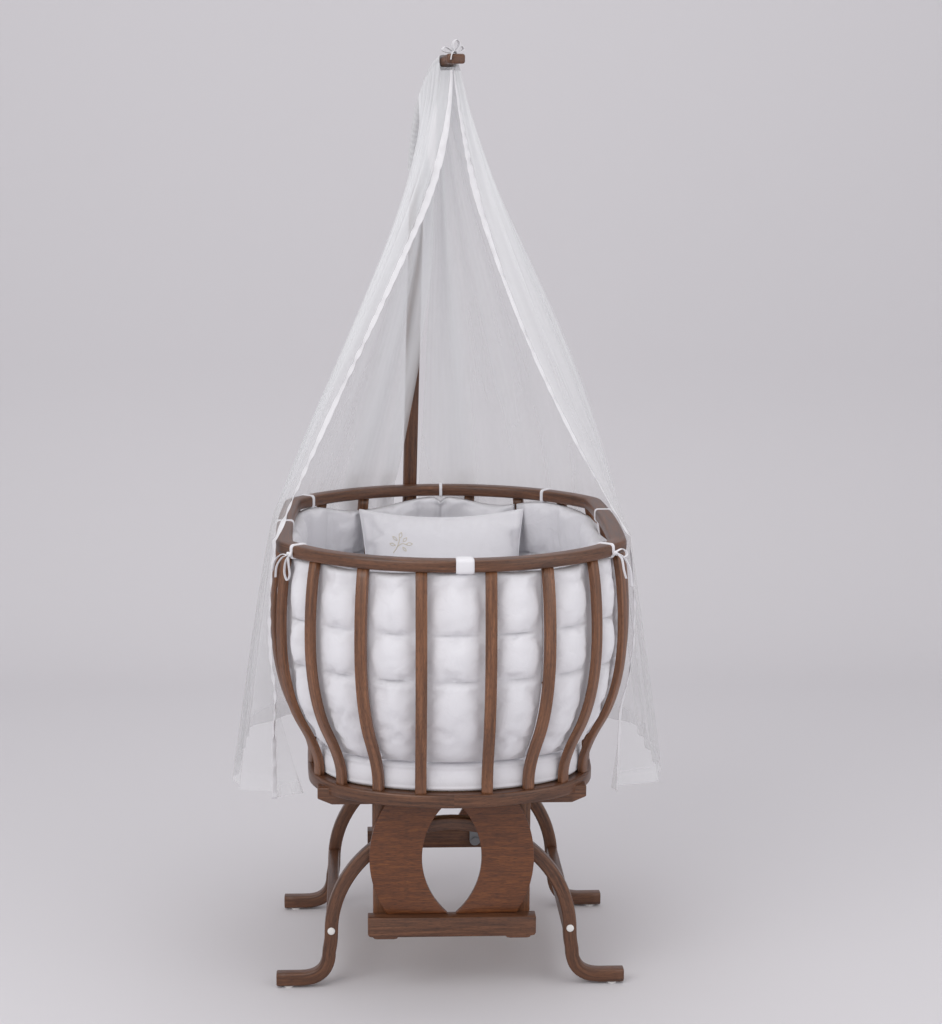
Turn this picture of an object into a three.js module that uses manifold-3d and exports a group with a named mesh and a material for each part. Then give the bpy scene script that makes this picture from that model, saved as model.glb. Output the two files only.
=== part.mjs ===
// Rocking cradle: an oval slatted basket that hangs from two bentwood arches on four links,
// with a mattress, bumpers, a pillow and a tulle canopy on a bentwood mast.
// Millimetres, +Z up. X runs across the cradle and Y from the foot end (front) to the head end.

import * as THREE from 'three';
import { mergeVertices } from 'three/addons/utils/BufferGeometryUtils.js';
import loadManifold from 'manifold-3d';

const wasm = await loadManifold();
wasm.setup();

// Fits
const seat = 0.3;              // gap between pieces that are glued, screwed or laid together
const boreClearance = 0.5;     // radial, round bolts and pins
const rimFacet = 1.1;          // by which the rim's facets stand inside its true curve
const runningGap = 5;          // between the swinging posts and the standing legs

// Stand
const legSpan = 700;           // foot tip to foot tip
const legSpacing = 450;        // between the middles of the front and rear legs
const legDepth = 26;           // front to back
const legBand = 27;            // in the plane of the arch
const legEdge = 3;             // chamfer round the leg's faces
const archHalfWidth = 239.5;   // of the centre line, at the springing
const archRise = 224.5;        // centre line above the springing
const springingHeight = 115;
const footRadius = 58;         // centre line of the bend into the foot
const glideRadius = 11;
const glideHeight = 4;
const glideInset = 24;         // from the foot tip
const stretcherHeight = 40;
const stretcherWidth = 22;
const stretcherRise = 5;       // middle of the stretcher above the springing
const stretcherBoltRadius = 3.5;
const stretcherBoltGrip = 24;  // length of bolt in the stretcher
const capRadius = 7.5;
const capHeight = 3;

// Swing links
const pivotX = 72;             // of the pins, from the middle
const lowerPivotHeight = 145;
const linkWidth = 24;
const linkThickness = 5;
const spacerLength = 9;        // between the leg and the link
const pinRadius = 4;
const collarRadius = 7;
const pinHeadRadius = 8;
const pinHeadHeight = 3.5;
const nutHeight = 6;
const crossbarPinDepth = 26;   // length of the lower pin in the crossbar

// Swinging frame under the basket
const crossbarHalfLength = 166.5;
const crossbarHeight = 40;
const crossbarDepth = 34;
const crossbarBackGap = 5;     // between the link and the crossbar
const crossbarCorner = 6;
const padLength = 49;
const padHeight = 4;
const padInset = 10.5;
const postOuterX = 156;
const postWidth = 28;
const panelHalfWidth = 163;    // at mid height
const panelEdgeRadius = 211.5; // of the bowed outer edge
const panelGapHalfWidth = 59;  // of the lens between the two halves
const panelGapRadius = 154.5;
const panelThickness = 12;
const bearerHalfLength = 264;
const bearerHeight = 34;
const bearerDepth = 38;
const bearerChamferLength = 28;
const bearerChamferHeight = 12;

// Basket
const ringBottom = 415;
const ringHeight = 27;
const ringWidth = 30;
const ringEdge = 4;
const boardThickness = 12;
const boardGap = 1.5;
const rimBottom = 891;
const rimHeight = 24;
const rimWidth = 33;
const rimEdge = 5;
const slatWidth = 22;
const slatThickness = 13;
const slatInset = 4;           // from the outer edge of the ring and rim to the slat's face
const slatTenon = 10;          // length of slat let into the ring
const kinkHeight = 505;        // where the slat leaves the upright
const bulgeHeight = 740;       // where the slat stands out furthest
const bulgeShare = 1.22;       // of the way from ring to rim
const slatsPerQuarterBow = 3;
const slatsPerQuarterSide = 3;
const ringPlan = { halfWidth: 289, halfLength: 378, bowRadius: 371, sideRadius: 2860,
  cornerRadius: 190, firstBowSlat: 65, bowPitch: 88.5, sidePitch: 94 };
const rimPlan = { halfWidth: 348, halfLength: 452, bowRadius: 385, sideRadius: 4000,
  cornerRadius: 80, firstBowSlat: 66, bowPitch: 117.5, sidePitch: 109 };

// Bedding
const mattressThickness = 66;
const mattressCrown = 12;
const beddingGap = 3;          // between the bedding and the slats
const bumperThickness = 34;
const bumperSeamThickness = 12;
const bumperBulge = 9;         // of a cell between two slats, beyond the slats' inner faces
const bumperRows = 3;
const bumperTopGap = 2.4;      // below the rim
const bumperSag = 38;          // of the top edge between two ties
const bumperJointGap = 6;
const pillowWidth = 350;
const pillowHeight = 360;
const pillowThickness = 84;
const pillowLean = 24;         // degrees from upright
const pillowLift = -4.9;       // of its middle, so that its lower edge rests on the mattress
const pillowForward = 28;     // of its middle, so that its sides clear the curved bumper
const pillowWaist = 0.05;      // how far each side draws in, as a share of its length

// Mast
const mastX = -70;             // at the rim
const mastWidth = 30;
const mastThickness = 17;
const mastEdge = 4;
const mastFootY = 459.7;        // of the inner face, at the slats' bulge
const mastBottom = 690;
const mastLean = 4.5;          // degrees towards the basket
const mastBendRadius = 257;
const mastTopHeight = 1842;    // centre line of the level end
const mastTurn = 16;           // degrees, the plane of the bend turned towards the middle
const mastHeadWidth = 38;
const mastHeadHeight = 20;
const mastHeadLength = 16;
const mastBoltRadius = 3;
const mastBoltHeadRadius = 7;
const mastBoltHeadHeight = 4;
const mastBoltGrip = 12;       // length of bolt in the rim and in the slat

// Canopy
const tulleThickness = 2.4;
const sleeveThickness = 2.4;
const sleeveSweep = 46;        // degrees of the mast's bend that the sleeve covers
const canopyMeeting = 4;       // of each front edge from the middle, under the tip
const canopyTuck = 18;         // of the front edges below the sleeve
const canopyHem = 402;         // height of the hem
const canopyRimGap = 4;        // between the tulle and the rim
const canopyFlare = 74;        // of the hem beyond the rim
const canopyFolds = 9;         // on each half
const foldDepthTop = 1.2;
const foldDepthMiddle = 11;
const foldDepthHem = 13;
const canopyFrontSlat = 19.7;  // place on the slat circle where the front edge crosses the rim
const canopyBackLeft = 12.3;   // the same for the left half's back edge
const canopyBackRight = 11.3;  // and the right half's

const trimWidth = 16;
const trimThickness = 2.2;

// Ties round the rim
const tieThickness = 1.6;
const strapWidth = 34;
const ribbonWidth = 7;
const bowLoopLength = 30;
const bowTailLength = 46;

// Shift of the whole along Y, so that its overall box is centred on the origin
const centreShift = -12.1;

// Derived heights and layers, each layer measured outwards from the middle along Y
const legFace = legSpacing / 2 + legDepth / 2;
const linkInner = legFace + spacerLength;
const linkOuter = linkInner + linkThickness;
const postInner = legFace + runningGap;
const crossbarInner = linkOuter + crossbarBackGap + seat;
const crossbarOuter = crossbarInner + crossbarDepth;
const postOuter = crossbarInner - seat;
const ringTop = ringBottom + ringHeight;
const rimTop = rimBottom + rimHeight;
const bearerTop = ringTop - boardThickness - seat;
const bearerBottom = bearerTop - bearerHeight;
const crossbarBottom = lowerPivotHeight - crossbarHeight / 2;
const crossbarTop = crossbarBottom + crossbarHeight;
const upperPivotHeight = springingHeight
  + archRise * Math.sqrt(1 - (pivotX / archHalfWidth) ** 2);
const footLine = glideHeight + legBand / 2;
const stretcherLine = springingHeight + stretcherRise;
const slatCount = 4 * (slatsPerQuarterBow + slatsPerQuarterSide);
const degrees = Math.PI / 180;

// Materials
const stainedWood = { color: 0x4a2b1e, roughness: 0.42, metalness: 0 };
const panelWood = { color: 0x74452c, roughness: 0.45, metalness: 0 };
const plywood = { color: 0xb08a5c, roughness: 0.7, metalness: 0 };
const steel = { color: 0x9a9c9e, roughness: 0.35, metalness: 1 };
const whitePlastic = { color: 0xe9e7e2, roughness: 0.4, metalness: 0 };
const cotton = { color: 0xf3f0ea, roughness: 0.95, metalness: 0 };
const tulle = { color: 0xf6f6f8, roughness: 0.9, metalness: 0 };
const satin = { color: 0xf4eee4, roughness: 0.5, metalness: 0 };

const model = new THREE.Group();

function addPiece(name, geometry, look) {
  geometry.translate(0, centreShift, 0);
  const mesh = new THREE.Mesh(geometry, new THREE.MeshStandardMaterial(look));
  mesh.name = name;
  model.add(mesh);
}

// Solids and booleans

function signedVolume(positions, index) {
  let volume = 0;
  const a = new THREE.Vector3();
  const b = new THREE.Vector3();
  const c = new THREE.Vector3();
  for (let i = 0; i < index.length; i += 3) {
    a.fromArray(positions, 3 * index[i]);
    b.fromArray(positions, 3 * index[i + 1]);
    c.fromArray(positions, 3 * index[i + 2]);
    volume += a.dot(b.cross(c)) / 6;
  }
  return volume;
}

// A geometry from points and triangles, turned so that its faces point outwards.
function solidFrom(points, triangles) {
  const positions = points.flatMap((p) => [p.x, p.y, p.z]);
  const index = triangles.flat();
  if (signedVolume(positions, index) < 0) index.reverse();
  const geometry = new THREE.BufferGeometry();
  geometry.setAttribute('position', new THREE.Float32BufferAttribute(positions, 3));
  geometry.setIndex(index);
  geometry.computeVertexNormals();
  return geometry;
}

function toManifold(geometry) {
  const bare = geometry.clone();
  bare.deleteAttribute('normal');
  bare.deleteAttribute('uv');
  const merged = mergeVertices(bare, 1e-4);
  const vertProperties = new Float32Array(merged.attributes.position.array);
  const triVerts = new Uint32Array(merged.index.array);
  return new wasm.Manifold(new wasm.Mesh({ numProp: 3, vertProperties, triVerts }));
}

function fromManifold(solid) {
  const mesh = solid.getMesh();
  const geometry = new THREE.BufferGeometry();
  geometry.setAttribute('position', new THREE.BufferAttribute(mesh.vertProperties, 3));
  geometry.setIndex(new THREE.BufferAttribute(mesh.triVerts, 1));
  geometry.computeVertexNormals();
  return geometry;
}

function cut(geometry, ...tools) {
  let solid = toManifold(geometry);
  for (const tool of tools) solid = solid.subtract(toManifold(tool));
  return fromManifold(solid);
}

function join(...pieces) {
  let solid = toManifold(pieces[0]);
  for (const piece of pieces.slice(1)) solid = solid.add(toManifold(piece));
  return fromManifold(solid);
}

// A solid through a row of like rings of points. A closed row joins its last ring to its first.
function loft(rings, closed = false) {
  const count = rings[0].length;
  const triangles = [];
  const last = closed ? rings.length : rings.length - 1;
  for (let i = 0; i < last; i++) {
    const here = i * count;
    const next = ((i + 1) % rings.length) * count;
    for (let j = 0; j < count; j++) {
      const k = (j + 1) % count;
      triangles.push([here + j, here + k, next + k], [here + j, next + k, next + j]);
    }
  }
  if (!closed) {
    const end = (rings.length - 1) * count;
    for (let j = 1; j < count - 1; j++) {
      triangles.push([0, j + 1, j], [end, end + j, end + j + 1]);
    }
  }
  return solidFrom(rings.flat(), triangles);
}

// A solid between two surfaces over the same unit square, closed round its border.
function padBetween(columns, rows, front, back) {
  const points = [];
  for (const surface of [front, back]) {
    for (let i = 0; i <= columns; i++) {
      for (let j = 0; j <= rows; j++) points.push(surface(i / columns, j / rows));
    }
  }
  const stride = rows + 1;
  const half = (columns + 1) * stride;
  const at = (i, j) => i * stride + j;
  const triangles = [];
  for (let i = 0; i < columns; i++) {
    for (let j = 0; j < rows; j++) {
      const [a, b, c, d] = [at(i, j), at(i + 1, j), at(i + 1, j + 1), at(i, j + 1)];
      triangles.push([a, b, c], [a, c, d], [half + a, half + c, half + b], [half + a, half + d, half + c]);
    }
  }
  const border = [];
  for (let i = 0; i < columns; i++) border.push(at(i, 0));
  for (let j = 0; j < rows; j++) border.push(at(columns, j));
  for (let i = columns; i > 0; i--) border.push(at(i, rows));
  for (let j = rows; j > 0; j--) border.push(at(0, j));
  border.forEach((a, i) => {
    const b = border[(i + 1) % border.length];
    triangles.push([a, half + b, b], [a, half + a, half + b]);
  });
  return solidFrom(points, triangles);
}

// An outline in X and Z, extruded along Y between two places.
function extrudeAlongY(shape, yA, yB, edge = 0, curveSegments = 12) {
  const depth = Math.abs(yB - yA);
  const geometry = new THREE.ExtrudeGeometry(shape, {
    depth: depth - 2 * edge, curveSegments, bevelEnabled: edge > 0, bevelSegments: 1,
    bevelThickness: edge, bevelSize: edge, bevelOffset: -edge,
  });
  geometry.rotateX(Math.PI / 2);
  geometry.translate(0, Math.max(yA, yB) - edge, 0);
  return geometry;
}

function blockBetween(x0, x1, y0, y1, z0, z1) {
  const geometry = new THREE.BoxGeometry(Math.abs(x1 - x0), Math.abs(y1 - y0), Math.abs(z1 - z0));
  return geometry.translate((x0 + x1) / 2, (y0 + y1) / 2, (z0 + z1) / 2);
}

function rodAlongY(radius, y0, y1, x, z, segments = 12) {
  const geometry = new THREE.CylinderGeometry(radius, radius, Math.abs(y1 - y0), segments);
  return geometry.translate(x, (y0 + y1) / 2, z);
}

// A turned piece whose axis runs along Y from the leg outwards. The profile holds
// [radius, distance from the middle], and end is -1 at the front of the cradle, 1 at the rear.
function turnedAlongY(profile, end, x, z, segments = 12) {
  const points = profile.map(([radius, y]) => new THREE.Vector2(radius, end * y));
  const lathe = mergeVertices(new THREE.LatheGeometry(points, segments), 1e-4);
  const position = lathe.attributes.position;
  const corners = [];
  for (let i = 0; i < position.count; i++) {
    corners.push(new THREE.Vector3(position.getX(i) + x, position.getY(i), position.getZ(i) + z));
  }
  const triangles = [];
  for (let i = 0; i < lathe.index.count; i += 3) {
    const [a, b, c] = [0, 1, 2].map((k) => lathe.index.getX(i + k));
    if (a !== b && b !== c && c !== a) triangles.push([a, b, c]);
  }
  return mergedSolid(corners, triangles);
}

// The same solid with coincident corners made one, and collapsed triangles left out.
function mergedSolid(points, triangles) {
  const keys = new Map();
  const kept = [];
  const renamed = points.map((p) => {
    const key = [p.x, p.y, p.z].map((v) => Math.round(v * 1e3)).join();
    if (!keys.has(key)) {
      keys.set(key, kept.length);
      kept.push(p);
    }
    return keys.get(key);
  });
  const real = triangles.map((t) => t.map((i) => renamed[i]))
    .filter(([a, b, c]) => a !== b && b !== c && c !== a);
  return solidFrom(kept, real);
}

// Oval hoops. A quarter of a hoop is half a bow, a corner and half a side, all arcs that
// meet smoothly. Distances run round the outer edge from the middle of the front bow.
class Hoop {
  constructor(plan) {
    const { halfWidth, halfLength, bowRadius, sideRadius, cornerRadius } = plan;
    this.plan = plan;
    this.bow = new THREE.Vector2(0, bowRadius - halfLength);
    this.side = new THREE.Vector2(halfWidth - sideRadius, 0);
    const toCorner = bowRadius - cornerRadius;
    const sideToCorner = sideRadius - cornerRadius;
    const apart = this.bow.distanceTo(this.side);
    const along = (toCorner ** 2 - sideToCorner ** 2 + apart ** 2) / (2 * apart);
    const across = Math.sqrt(toCorner ** 2 - along ** 2);
    const axis = this.side.clone().sub(this.bow).divideScalar(apart);
    this.corner = new THREE.Vector2(
      this.bow.x + along * axis.x - across * axis.y,
      this.bow.y + along * axis.y + across * axis.x,
    );
    if (this.corner.x < 0 || this.corner.y > 0) {
      this.corner.set(
        this.bow.x + along * axis.x + across * axis.y,
        this.bow.y + along * axis.y - across * axis.x,
      );
    }
    this.bowEnd = this.corner.clone().sub(this.bow).angle() - 2 * Math.PI;
    this.sideStart = this.corner.clone().sub(this.side).angle() - 2 * Math.PI;
    this.bowLength = bowRadius * (this.bowEnd + Math.PI / 2);
    this.cornerLength = cornerRadius * (this.sideStart - this.bowEnd);
    this.sideLength = -sideRadius * this.sideStart;
    this.quarter = this.bowLength + this.cornerLength + this.sideLength;
    this.length = 4 * this.quarter;
  }

  quarterPoint(distance, inset) {
    const { bowRadius, sideRadius, cornerRadius } = this.plan;
    let centre = this.bow;
    let radius = bowRadius;
    let angle = -Math.PI / 2 + distance / bowRadius;
    if (distance > this.bowLength + this.cornerLength) {
      centre = this.side;
      radius = sideRadius;
      angle = -(this.quarter - distance) / sideRadius;
    } else if (distance > this.bowLength) {
      centre = this.corner;
      radius = cornerRadius;
      angle = this.bowEnd + (distance - this.bowLength) / cornerRadius;
    }
    const out = new THREE.Vector2(Math.cos(angle), Math.sin(angle));
    return { place: out.clone().multiplyScalar(radius - inset).add(centre), out };
  }

  // The place on the hoop, moved in from the outer edge, and the direction outwards there.
  at(distance, inset = 0) {
    const around = ((distance % this.length) + this.length) % this.length;
    const turn = Math.floor(around / this.quarter);
    const rest = around - turn * this.quarter;
    const { place, out } = this.quarterPoint(turn % 2 ? this.quarter - rest : rest, inset);
    const flipX = turn > 1 ? -1 : 1;
    const flipY = turn === 1 || turn === 2 ? -1 : 1;
    const flip = new THREE.Vector2(flipX, flipY);
    return { place: place.multiply(flip), out: out.multiply(flip) };
  }

  stations(bowSteps, cornerSteps, sideSteps) {
    const quarter = [];
    for (let i = 0; i < bowSteps; i++) quarter.push(this.bowLength * i / bowSteps);
    for (let i = 0; i < cornerSteps; i++) {
      quarter.push(this.bowLength + this.cornerLength * i / cornerSteps);
    }
    for (let i = 0; i < sideSteps; i++) {
      quarter.push(this.quarter - this.sideLength * (1 - i / sideSteps));
    }
    const back = [...quarter.slice(1), this.quarter].reverse().map((d) => 2 * this.quarter - d);
    const half = [...quarter, ...back];
    return [...half, ...half.map((d) => d + 2 * this.quarter)];
  }

  // Where each slat stands, in order round the hoop.
  slatSeats() {
    const { firstBowSlat, bowPitch, sidePitch } = this.plan;
    const quarter = [];
    for (let i = 0; i < slatsPerQuarterBow; i++) quarter.push(firstBowSlat + i * bowPitch);
    for (let i = slatsPerQuarterSide - 1; i >= 0; i--) {
      quarter.push(this.quarter - (i + 0.5) * sidePitch);
    }
    const back = [...quarter].reverse().map((d) => 2 * this.quarter - d);
    const half = [...quarter, ...back];
    return [...half, ...half.map((d) => d + 2 * this.quarter)];
  }
}

const ringHoop = new Hoop(ringPlan);
const rimHoop = new Hoop(rimPlan);

// A hoop of rectangular section with chamfered edges. grown makes it larger all round.
function hoopSolid(hoop, bottom, height, width, edge, grown = 0) {
  const [low, high] = [bottom - grown, bottom + height + grown];
  const [outer, inner] = [-grown, width + grown];
  const section = [
    [outer, low + edge], [outer, high - edge], [outer + edge, high], [inner - edge, high],
    [inner, high - edge], [inner, low + edge], [inner - edge, low], [outer + edge, low],
  ];
  const rings = hoop.stations(6, 4, 3).map((distance) => section.map(([inset, z]) => {
    const { place } = hoop.at(distance, inset);
    return new THREE.Vector3(place.x, place.y, z);
  }));
  return loft(rings, true);
}

// The wall between ring and rim. Its profile is upright to the kink, sweeps out to the
// bulge and leans back in to the rim, as a share of the way from ring to rim.
const lowerSweep = new THREE.CubicBezierCurve(
  new THREE.Vector2(0, kinkHeight),
  new THREE.Vector2(0.51 * bulgeShare, kinkHeight + 0.13 * (bulgeHeight - kinkHeight)),
  new THREE.Vector2(bulgeShare, kinkHeight + 0.49 * (bulgeHeight - kinkHeight)),
  new THREE.Vector2(bulgeShare, bulgeHeight),
);
const upperSweep = new THREE.QuadraticBezierCurve(
  new THREE.Vector2(bulgeShare, bulgeHeight),
  new THREE.Vector2(bulgeShare, bulgeHeight + 0.6 * (rimBottom - bulgeHeight)),
  new THREE.Vector2(1, rimBottom),
);

function wallShare(height) {
  if (height <= kinkHeight) return 0;
  const curve = height < bulgeHeight ? lowerSweep : upperSweep;
  let low = 0;
  let high = 1;
  for (let i = 0; i < 24; i++) {
    const middle = (low + high) / 2;
    if (curve.getPoint(middle).y < height) low = middle;
    else high = middle;
  }
  return curve.getPoint(low).x;
}

// Distance round a hoop at a place on the slat circle, where slat 0 stands at 0.
function distanceAtSlat(hoop, place) {
  const seats = hoop.slatSeats();
  const lap = Math.floor(place / slatCount);
  const within = place - lap * slatCount;
  const before = Math.floor(within);
  const from = seats[before];
  const to = before + 1 < slatCount ? seats[before + 1] : seats[0] + hoop.length;
  return lap * hoop.length + from + (within - before) * (to - from);
}

// A point of the wall at a place on the slat circle and a height, moved in by an inset.
function wallPoint(place, height, inset = 0) {
  const low = ringHoop.at(distanceAtSlat(ringHoop, place), slatInset);
  const high = rimHoop.at(distanceAtSlat(rimHoop, place), slatInset);
  const share = wallShare(height);
  const point = low.place.lerp(high.place, share);
  const out = low.out.lerp(high.out, Math.min(1, Math.max(0, share))).normalize();
  return new THREE.Vector3(point.x - inset * out.x, point.y - inset * out.y, height);
}

// Stand

function legCentreLine() {
  const footBend = archHalfWidth + 4.5 + footRadius;
  const path = new THREE.CurvePath();
  const start = new THREE.Vector2(-legSpan / 2, footLine);
  const bendStart = new THREE.Vector2(-footBend, footLine);
  const bendEnd = new THREE.Vector2(-footBend + footRadius, footLine + footRadius);
  const springing = new THREE.Vector2(-archHalfWidth, springingHeight);
  path.add(new THREE.LineCurve(start, bendStart));
  path.add(new THREE.QuadraticBezierCurve(bendStart,
    new THREE.Vector2(bendEnd.x, footLine), bendEnd));
  path.add(new THREE.QuadraticBezierCurve(bendEnd,
    new THREE.Vector2(-archHalfWidth, (bendEnd.y + springing.y) / 2), springing));
  return path;
}

// Outline of the whole arch: its centre line, offset both ways by half the band.
function legOutline() {
  const half = [];
  const path = legCentreLine();
  const counts = [1, 4, 1];
  path.curves.forEach((curve, i) => {
    for (let k = 0; k < counts[i]; k++) half.push([curve.getPoint(k / counts[i]), curve.getTangent(k / counts[i])]);
  });
  const archSteps = 11;
  for (let k = 0; k <= archSteps; k++) {
    const angle = Math.PI - (Math.PI / 2) * k / archSteps;
    const [c, s] = [Math.cos(angle), Math.sin(angle)];
    const point = new THREE.Vector2(archHalfWidth * c, springingHeight + archRise * s);
    const tangent = new THREE.Vector2(archHalfWidth * s, -archRise * c).normalize();
    half.push([point, tangent]);
  }
  const side = (sign) => half.map(([p, t]) => new THREE.Vector2(
    p.x - sign * t.y * legBand / 2, p.y + sign * t.x * legBand / 2));
  const mirror = (points) => points.slice(0, -1).reverse().map((p) => new THREE.Vector2(-p.x, p.y));
  const outer = side(1);
  const inner = side(-1);
  const outline = [...outer, ...mirror(outer), ...[...inner, ...mirror(inner)].reverse()];
  return new THREE.Shape(outline);
}

function legSolid(end) {
  const near = end * (legSpacing - legDepth) / 2;
  const far = end * legFace;
  const body = extrudeAlongY(legOutline(), near, far, legEdge);
  const bores = [];
  for (const side of [-1, 1]) {
    bores.push(rodAlongY(pinRadius + boreClearance, near - end, far + end, side * pivotX, upperPivotHeight));
    bores.push(rodAlongY(stretcherBoltRadius + boreClearance, near - end, far + end,
      side * archHalfWidth, stretcherLine));
  }
  return cut(body, ...bores);
}

function stretcherSolid(side) {
  const reach = (legSpacing - legDepth) / 2 - seat;
  const x = side * archHalfWidth;
  const body = blockBetween(x - stretcherWidth / 2, x + stretcherWidth / 2, -reach, reach,
    stretcherLine - stretcherHeight / 2, stretcherLine + stretcherHeight / 2);
  const bores = [-1, 1].map((end) => rodAlongY(stretcherBoltRadius + boreClearance,
    end * (reach + 1), end * (reach - stretcherBoltGrip - 1), x, stretcherLine));
  return cut(body, ...bores);
}

// Bolt through the leg into the stretcher, with its round cap.
function stretcherBoltSolid(end, side) {
  const face = legFace + seat;
  const tip = (legSpacing - legDepth) / 2 - seat - stretcherBoltGrip;
  const profile = [
    [0, tip], [stretcherBoltRadius, tip], [stretcherBoltRadius, face], [capRadius, face],
    [capRadius, face + capHeight / 2], [0.7 * capRadius, face + capHeight], [0, face + capHeight],
  ];
  return turnedAlongY(profile, end, side * archHalfWidth, stretcherLine);
}

function glideSolid(end, side) {
  const geometry = new THREE.CylinderGeometry(glideRadius, 0.85 * glideRadius,
    glideHeight - seat, 16);
  geometry.rotateX(Math.PI / 2);
  const x = side * (legSpan / 2 - glideInset);
  return geometry.translate(x, end * legSpacing / 2, (glideHeight - seat) / 2);
}

function addStand() {
  for (const [end, endName] of [[-1, 'front'], [1, 'rear']]) {
    addPiece(`${endName}_leg`, legSolid(end), stainedWood);
    for (const [side, sideName] of [[-1, 'left'], [1, 'right']]) {
      addPiece(`stretcher_bolt_${endName}_${sideName}`, stretcherBoltSolid(end, side), whitePlastic);
      addPiece(`glide_${endName}_${sideName}`, glideSolid(end, side), whitePlastic);
    }
  }
  addPiece('left_stretcher', stretcherSolid(-1), stainedWood);
  addPiece('right_stretcher', stretcherSolid(1), stainedWood);
}

// Swing links and their pins

function linkSolid(end, side) {
  const shape = new THREE.Shape();
  const x = side * pivotX;
  shape.absarc(x, upperPivotHeight, linkWidth / 2, 0, Math.PI);
  shape.absarc(x, lowerPivotHeight, linkWidth / 2, Math.PI, 2 * Math.PI);
  const body = extrudeAlongY(shape, end * linkInner, end * linkOuter, 0, 7);
  const bores = [upperPivotHeight, lowerPivotHeight].map((z) => rodAlongY(
    pinRadius + boreClearance, end * (linkInner - 1), end * (linkOuter + 1), x, z));
  return cut(body, ...bores);
}

// Upper pin: head in front of the link, collar between link and leg, nut behind the leg.
function upperPinSolid(end, side) {
  const legBack = (legSpacing - legDepth) / 2;
  const profile = [
    [0, legBack - seat - nutHeight], [pinHeadRadius, legBack - seat - nutHeight],
    [pinHeadRadius, legBack - seat], [pinRadius, legBack - seat],
    [pinRadius, legFace + seat], [collarRadius, legFace + seat],
    [collarRadius, linkInner - seat], [pinRadius, linkInner - seat],
    [pinRadius, linkOuter + seat], [pinHeadRadius, linkOuter + seat],
    [pinHeadRadius, linkOuter + seat + pinHeadHeight], [0, linkOuter + seat + pinHeadHeight],
  ];
  return turnedAlongY(profile, end, side * pivotX, upperPivotHeight);
}

// Lower pin: head behind the link, collar between link and crossbar, end in the crossbar.
function lowerPinSolid(end, side) {
  const tip = crossbarInner + crossbarPinDepth;
  const profile = [
    [0, linkInner - seat - pinHeadHeight], [pinHeadRadius, linkInner - seat - pinHeadHeight],
    [pinHeadRadius, linkInner - seat], [pinRadius, linkInner - seat],
    [pinRadius, linkOuter + seat], [collarRadius, linkOuter + seat],
    [collarRadius, crossbarInner - seat], [pinRadius, crossbarInner - seat],
    [pinRadius, tip], [0, tip],
  ];
  return turnedAlongY(profile, end, side * pivotX, lowerPivotHeight);
}

function addLinks() {
  for (const [end, endName] of [[-1, 'front'], [1, 'rear']]) {
    for (const [side, sideName] of [[-1, 'left'], [1, 'right']]) {
      addPiece(`link_${endName}_${sideName}`, linkSolid(end, side), steel);
      addPiece(`upper_pin_${endName}_${sideName}`, upperPinSolid(end, side), steel);
      addPiece(`lower_pin_${endName}_${sideName}`, lowerPinSolid(end, side), steel);
    }
  }
}

// Swinging frame

// Crossbar outline with its two pads and small round lower corners.
function crossbarOutline() {
  const [half, low, high, r] = [crossbarHalfLength, crossbarBottom, crossbarTop, crossbarCorner];
  const padOuter = half - padInset;
  const padInner = padOuter - padLength;
  const shape = new THREE.Shape();
  shape.moveTo(-half, high);
  shape.lineTo(-half, low + r);
  shape.quadraticCurveTo(-half, low, -padOuter, low);
  shape.quadraticCurveTo(-padOuter, low - padHeight, -padOuter + 2 * padHeight, low - padHeight);
  shape.lineTo(-padInner - 2 * padHeight, low - padHeight);
  shape.quadraticCurveTo(-padInner, low - padHeight, -padInner, low);
  shape.lineTo(padInner, low);
  shape.quadraticCurveTo(padInner, low - padHeight, padInner + 2 * padHeight, low - padHeight);
  shape.lineTo(padOuter - 2 * padHeight, low - padHeight);
  shape.quadraticCurveTo(padOuter, low - padHeight, padOuter, low);
  shape.quadraticCurveTo(half, low, half, low + r);
  shape.lineTo(half, high);
  shape.closePath();
  return shape;
}

function crossbarSolid(end) {
  const body = extrudeAlongY(crossbarOutline(), end * crossbarInner, end * crossbarOuter, 0, 3);
  const bores = [-1, 1].map((side) => rodAlongY(pinRadius + boreClearance,
    end * (crossbarInner - 1), end * (crossbarInner + crossbarPinDepth + 1),
    side * pivotX, lowerPivotHeight));
  return cut(body, ...bores);
}

function postSolid(end, side) {
  return blockBetween(side * (postOuterX - postWidth), side * postOuterX,
    end * postInner, end * postOuter, crossbarBottom + crossbarCorner, bearerBottom - seat);
}

// One half of an end panel: bowed outside, hollow on the side of the lens.
function panelSolid(end, side) {
  const low = crossbarTop + seat;
  const high = bearerBottom - seat;
  const middle = (low + high) / 2;
  const half = (high - low) / 2;
  const steps = 10;
  const edge = (halfWidth, radius) => Array.from({ length: steps + 1 }, (_, i) => {
    const z = -half + 2 * half * i / steps;
    const x = halfWidth - radius + Math.sqrt(radius ** 2 - z ** 2);
    return new THREE.Vector2(side * x, middle + z);
  });
  const outline = [...edge(panelHalfWidth, panelEdgeRadius),
    ...edge(panelGapHalfWidth, panelGapRadius).reverse()];
  return extrudeAlongY(new THREE.Shape(outline), end * (postOuter + seat),
    end * (postOuter + seat + panelThickness));
}

// Bearer under the basket, with cut-back lower ends, housed where the ring crosses it.
function bearerSolid(end) {
  const [half, low, high] = [bearerHalfLength, bearerBottom, bearerTop];
  const shape = new THREE.Shape([
    [-half, high], [-half, low + bearerChamferHeight], [-half + bearerChamferLength, low],
    [half - bearerChamferLength, low], [half, low + bearerChamferHeight], [half, high],
  ].map(([x, z]) => new THREE.Vector2(x, z)));
  const body = extrudeAlongY(shape, end * postInner, end * (postInner + bearerDepth));
  const housing = hoopSolid(ringHoop, ringBottom, 2 * ringHeight, ringWidth, ringEdge, seat);
  return cut(body, housing);
}

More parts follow.
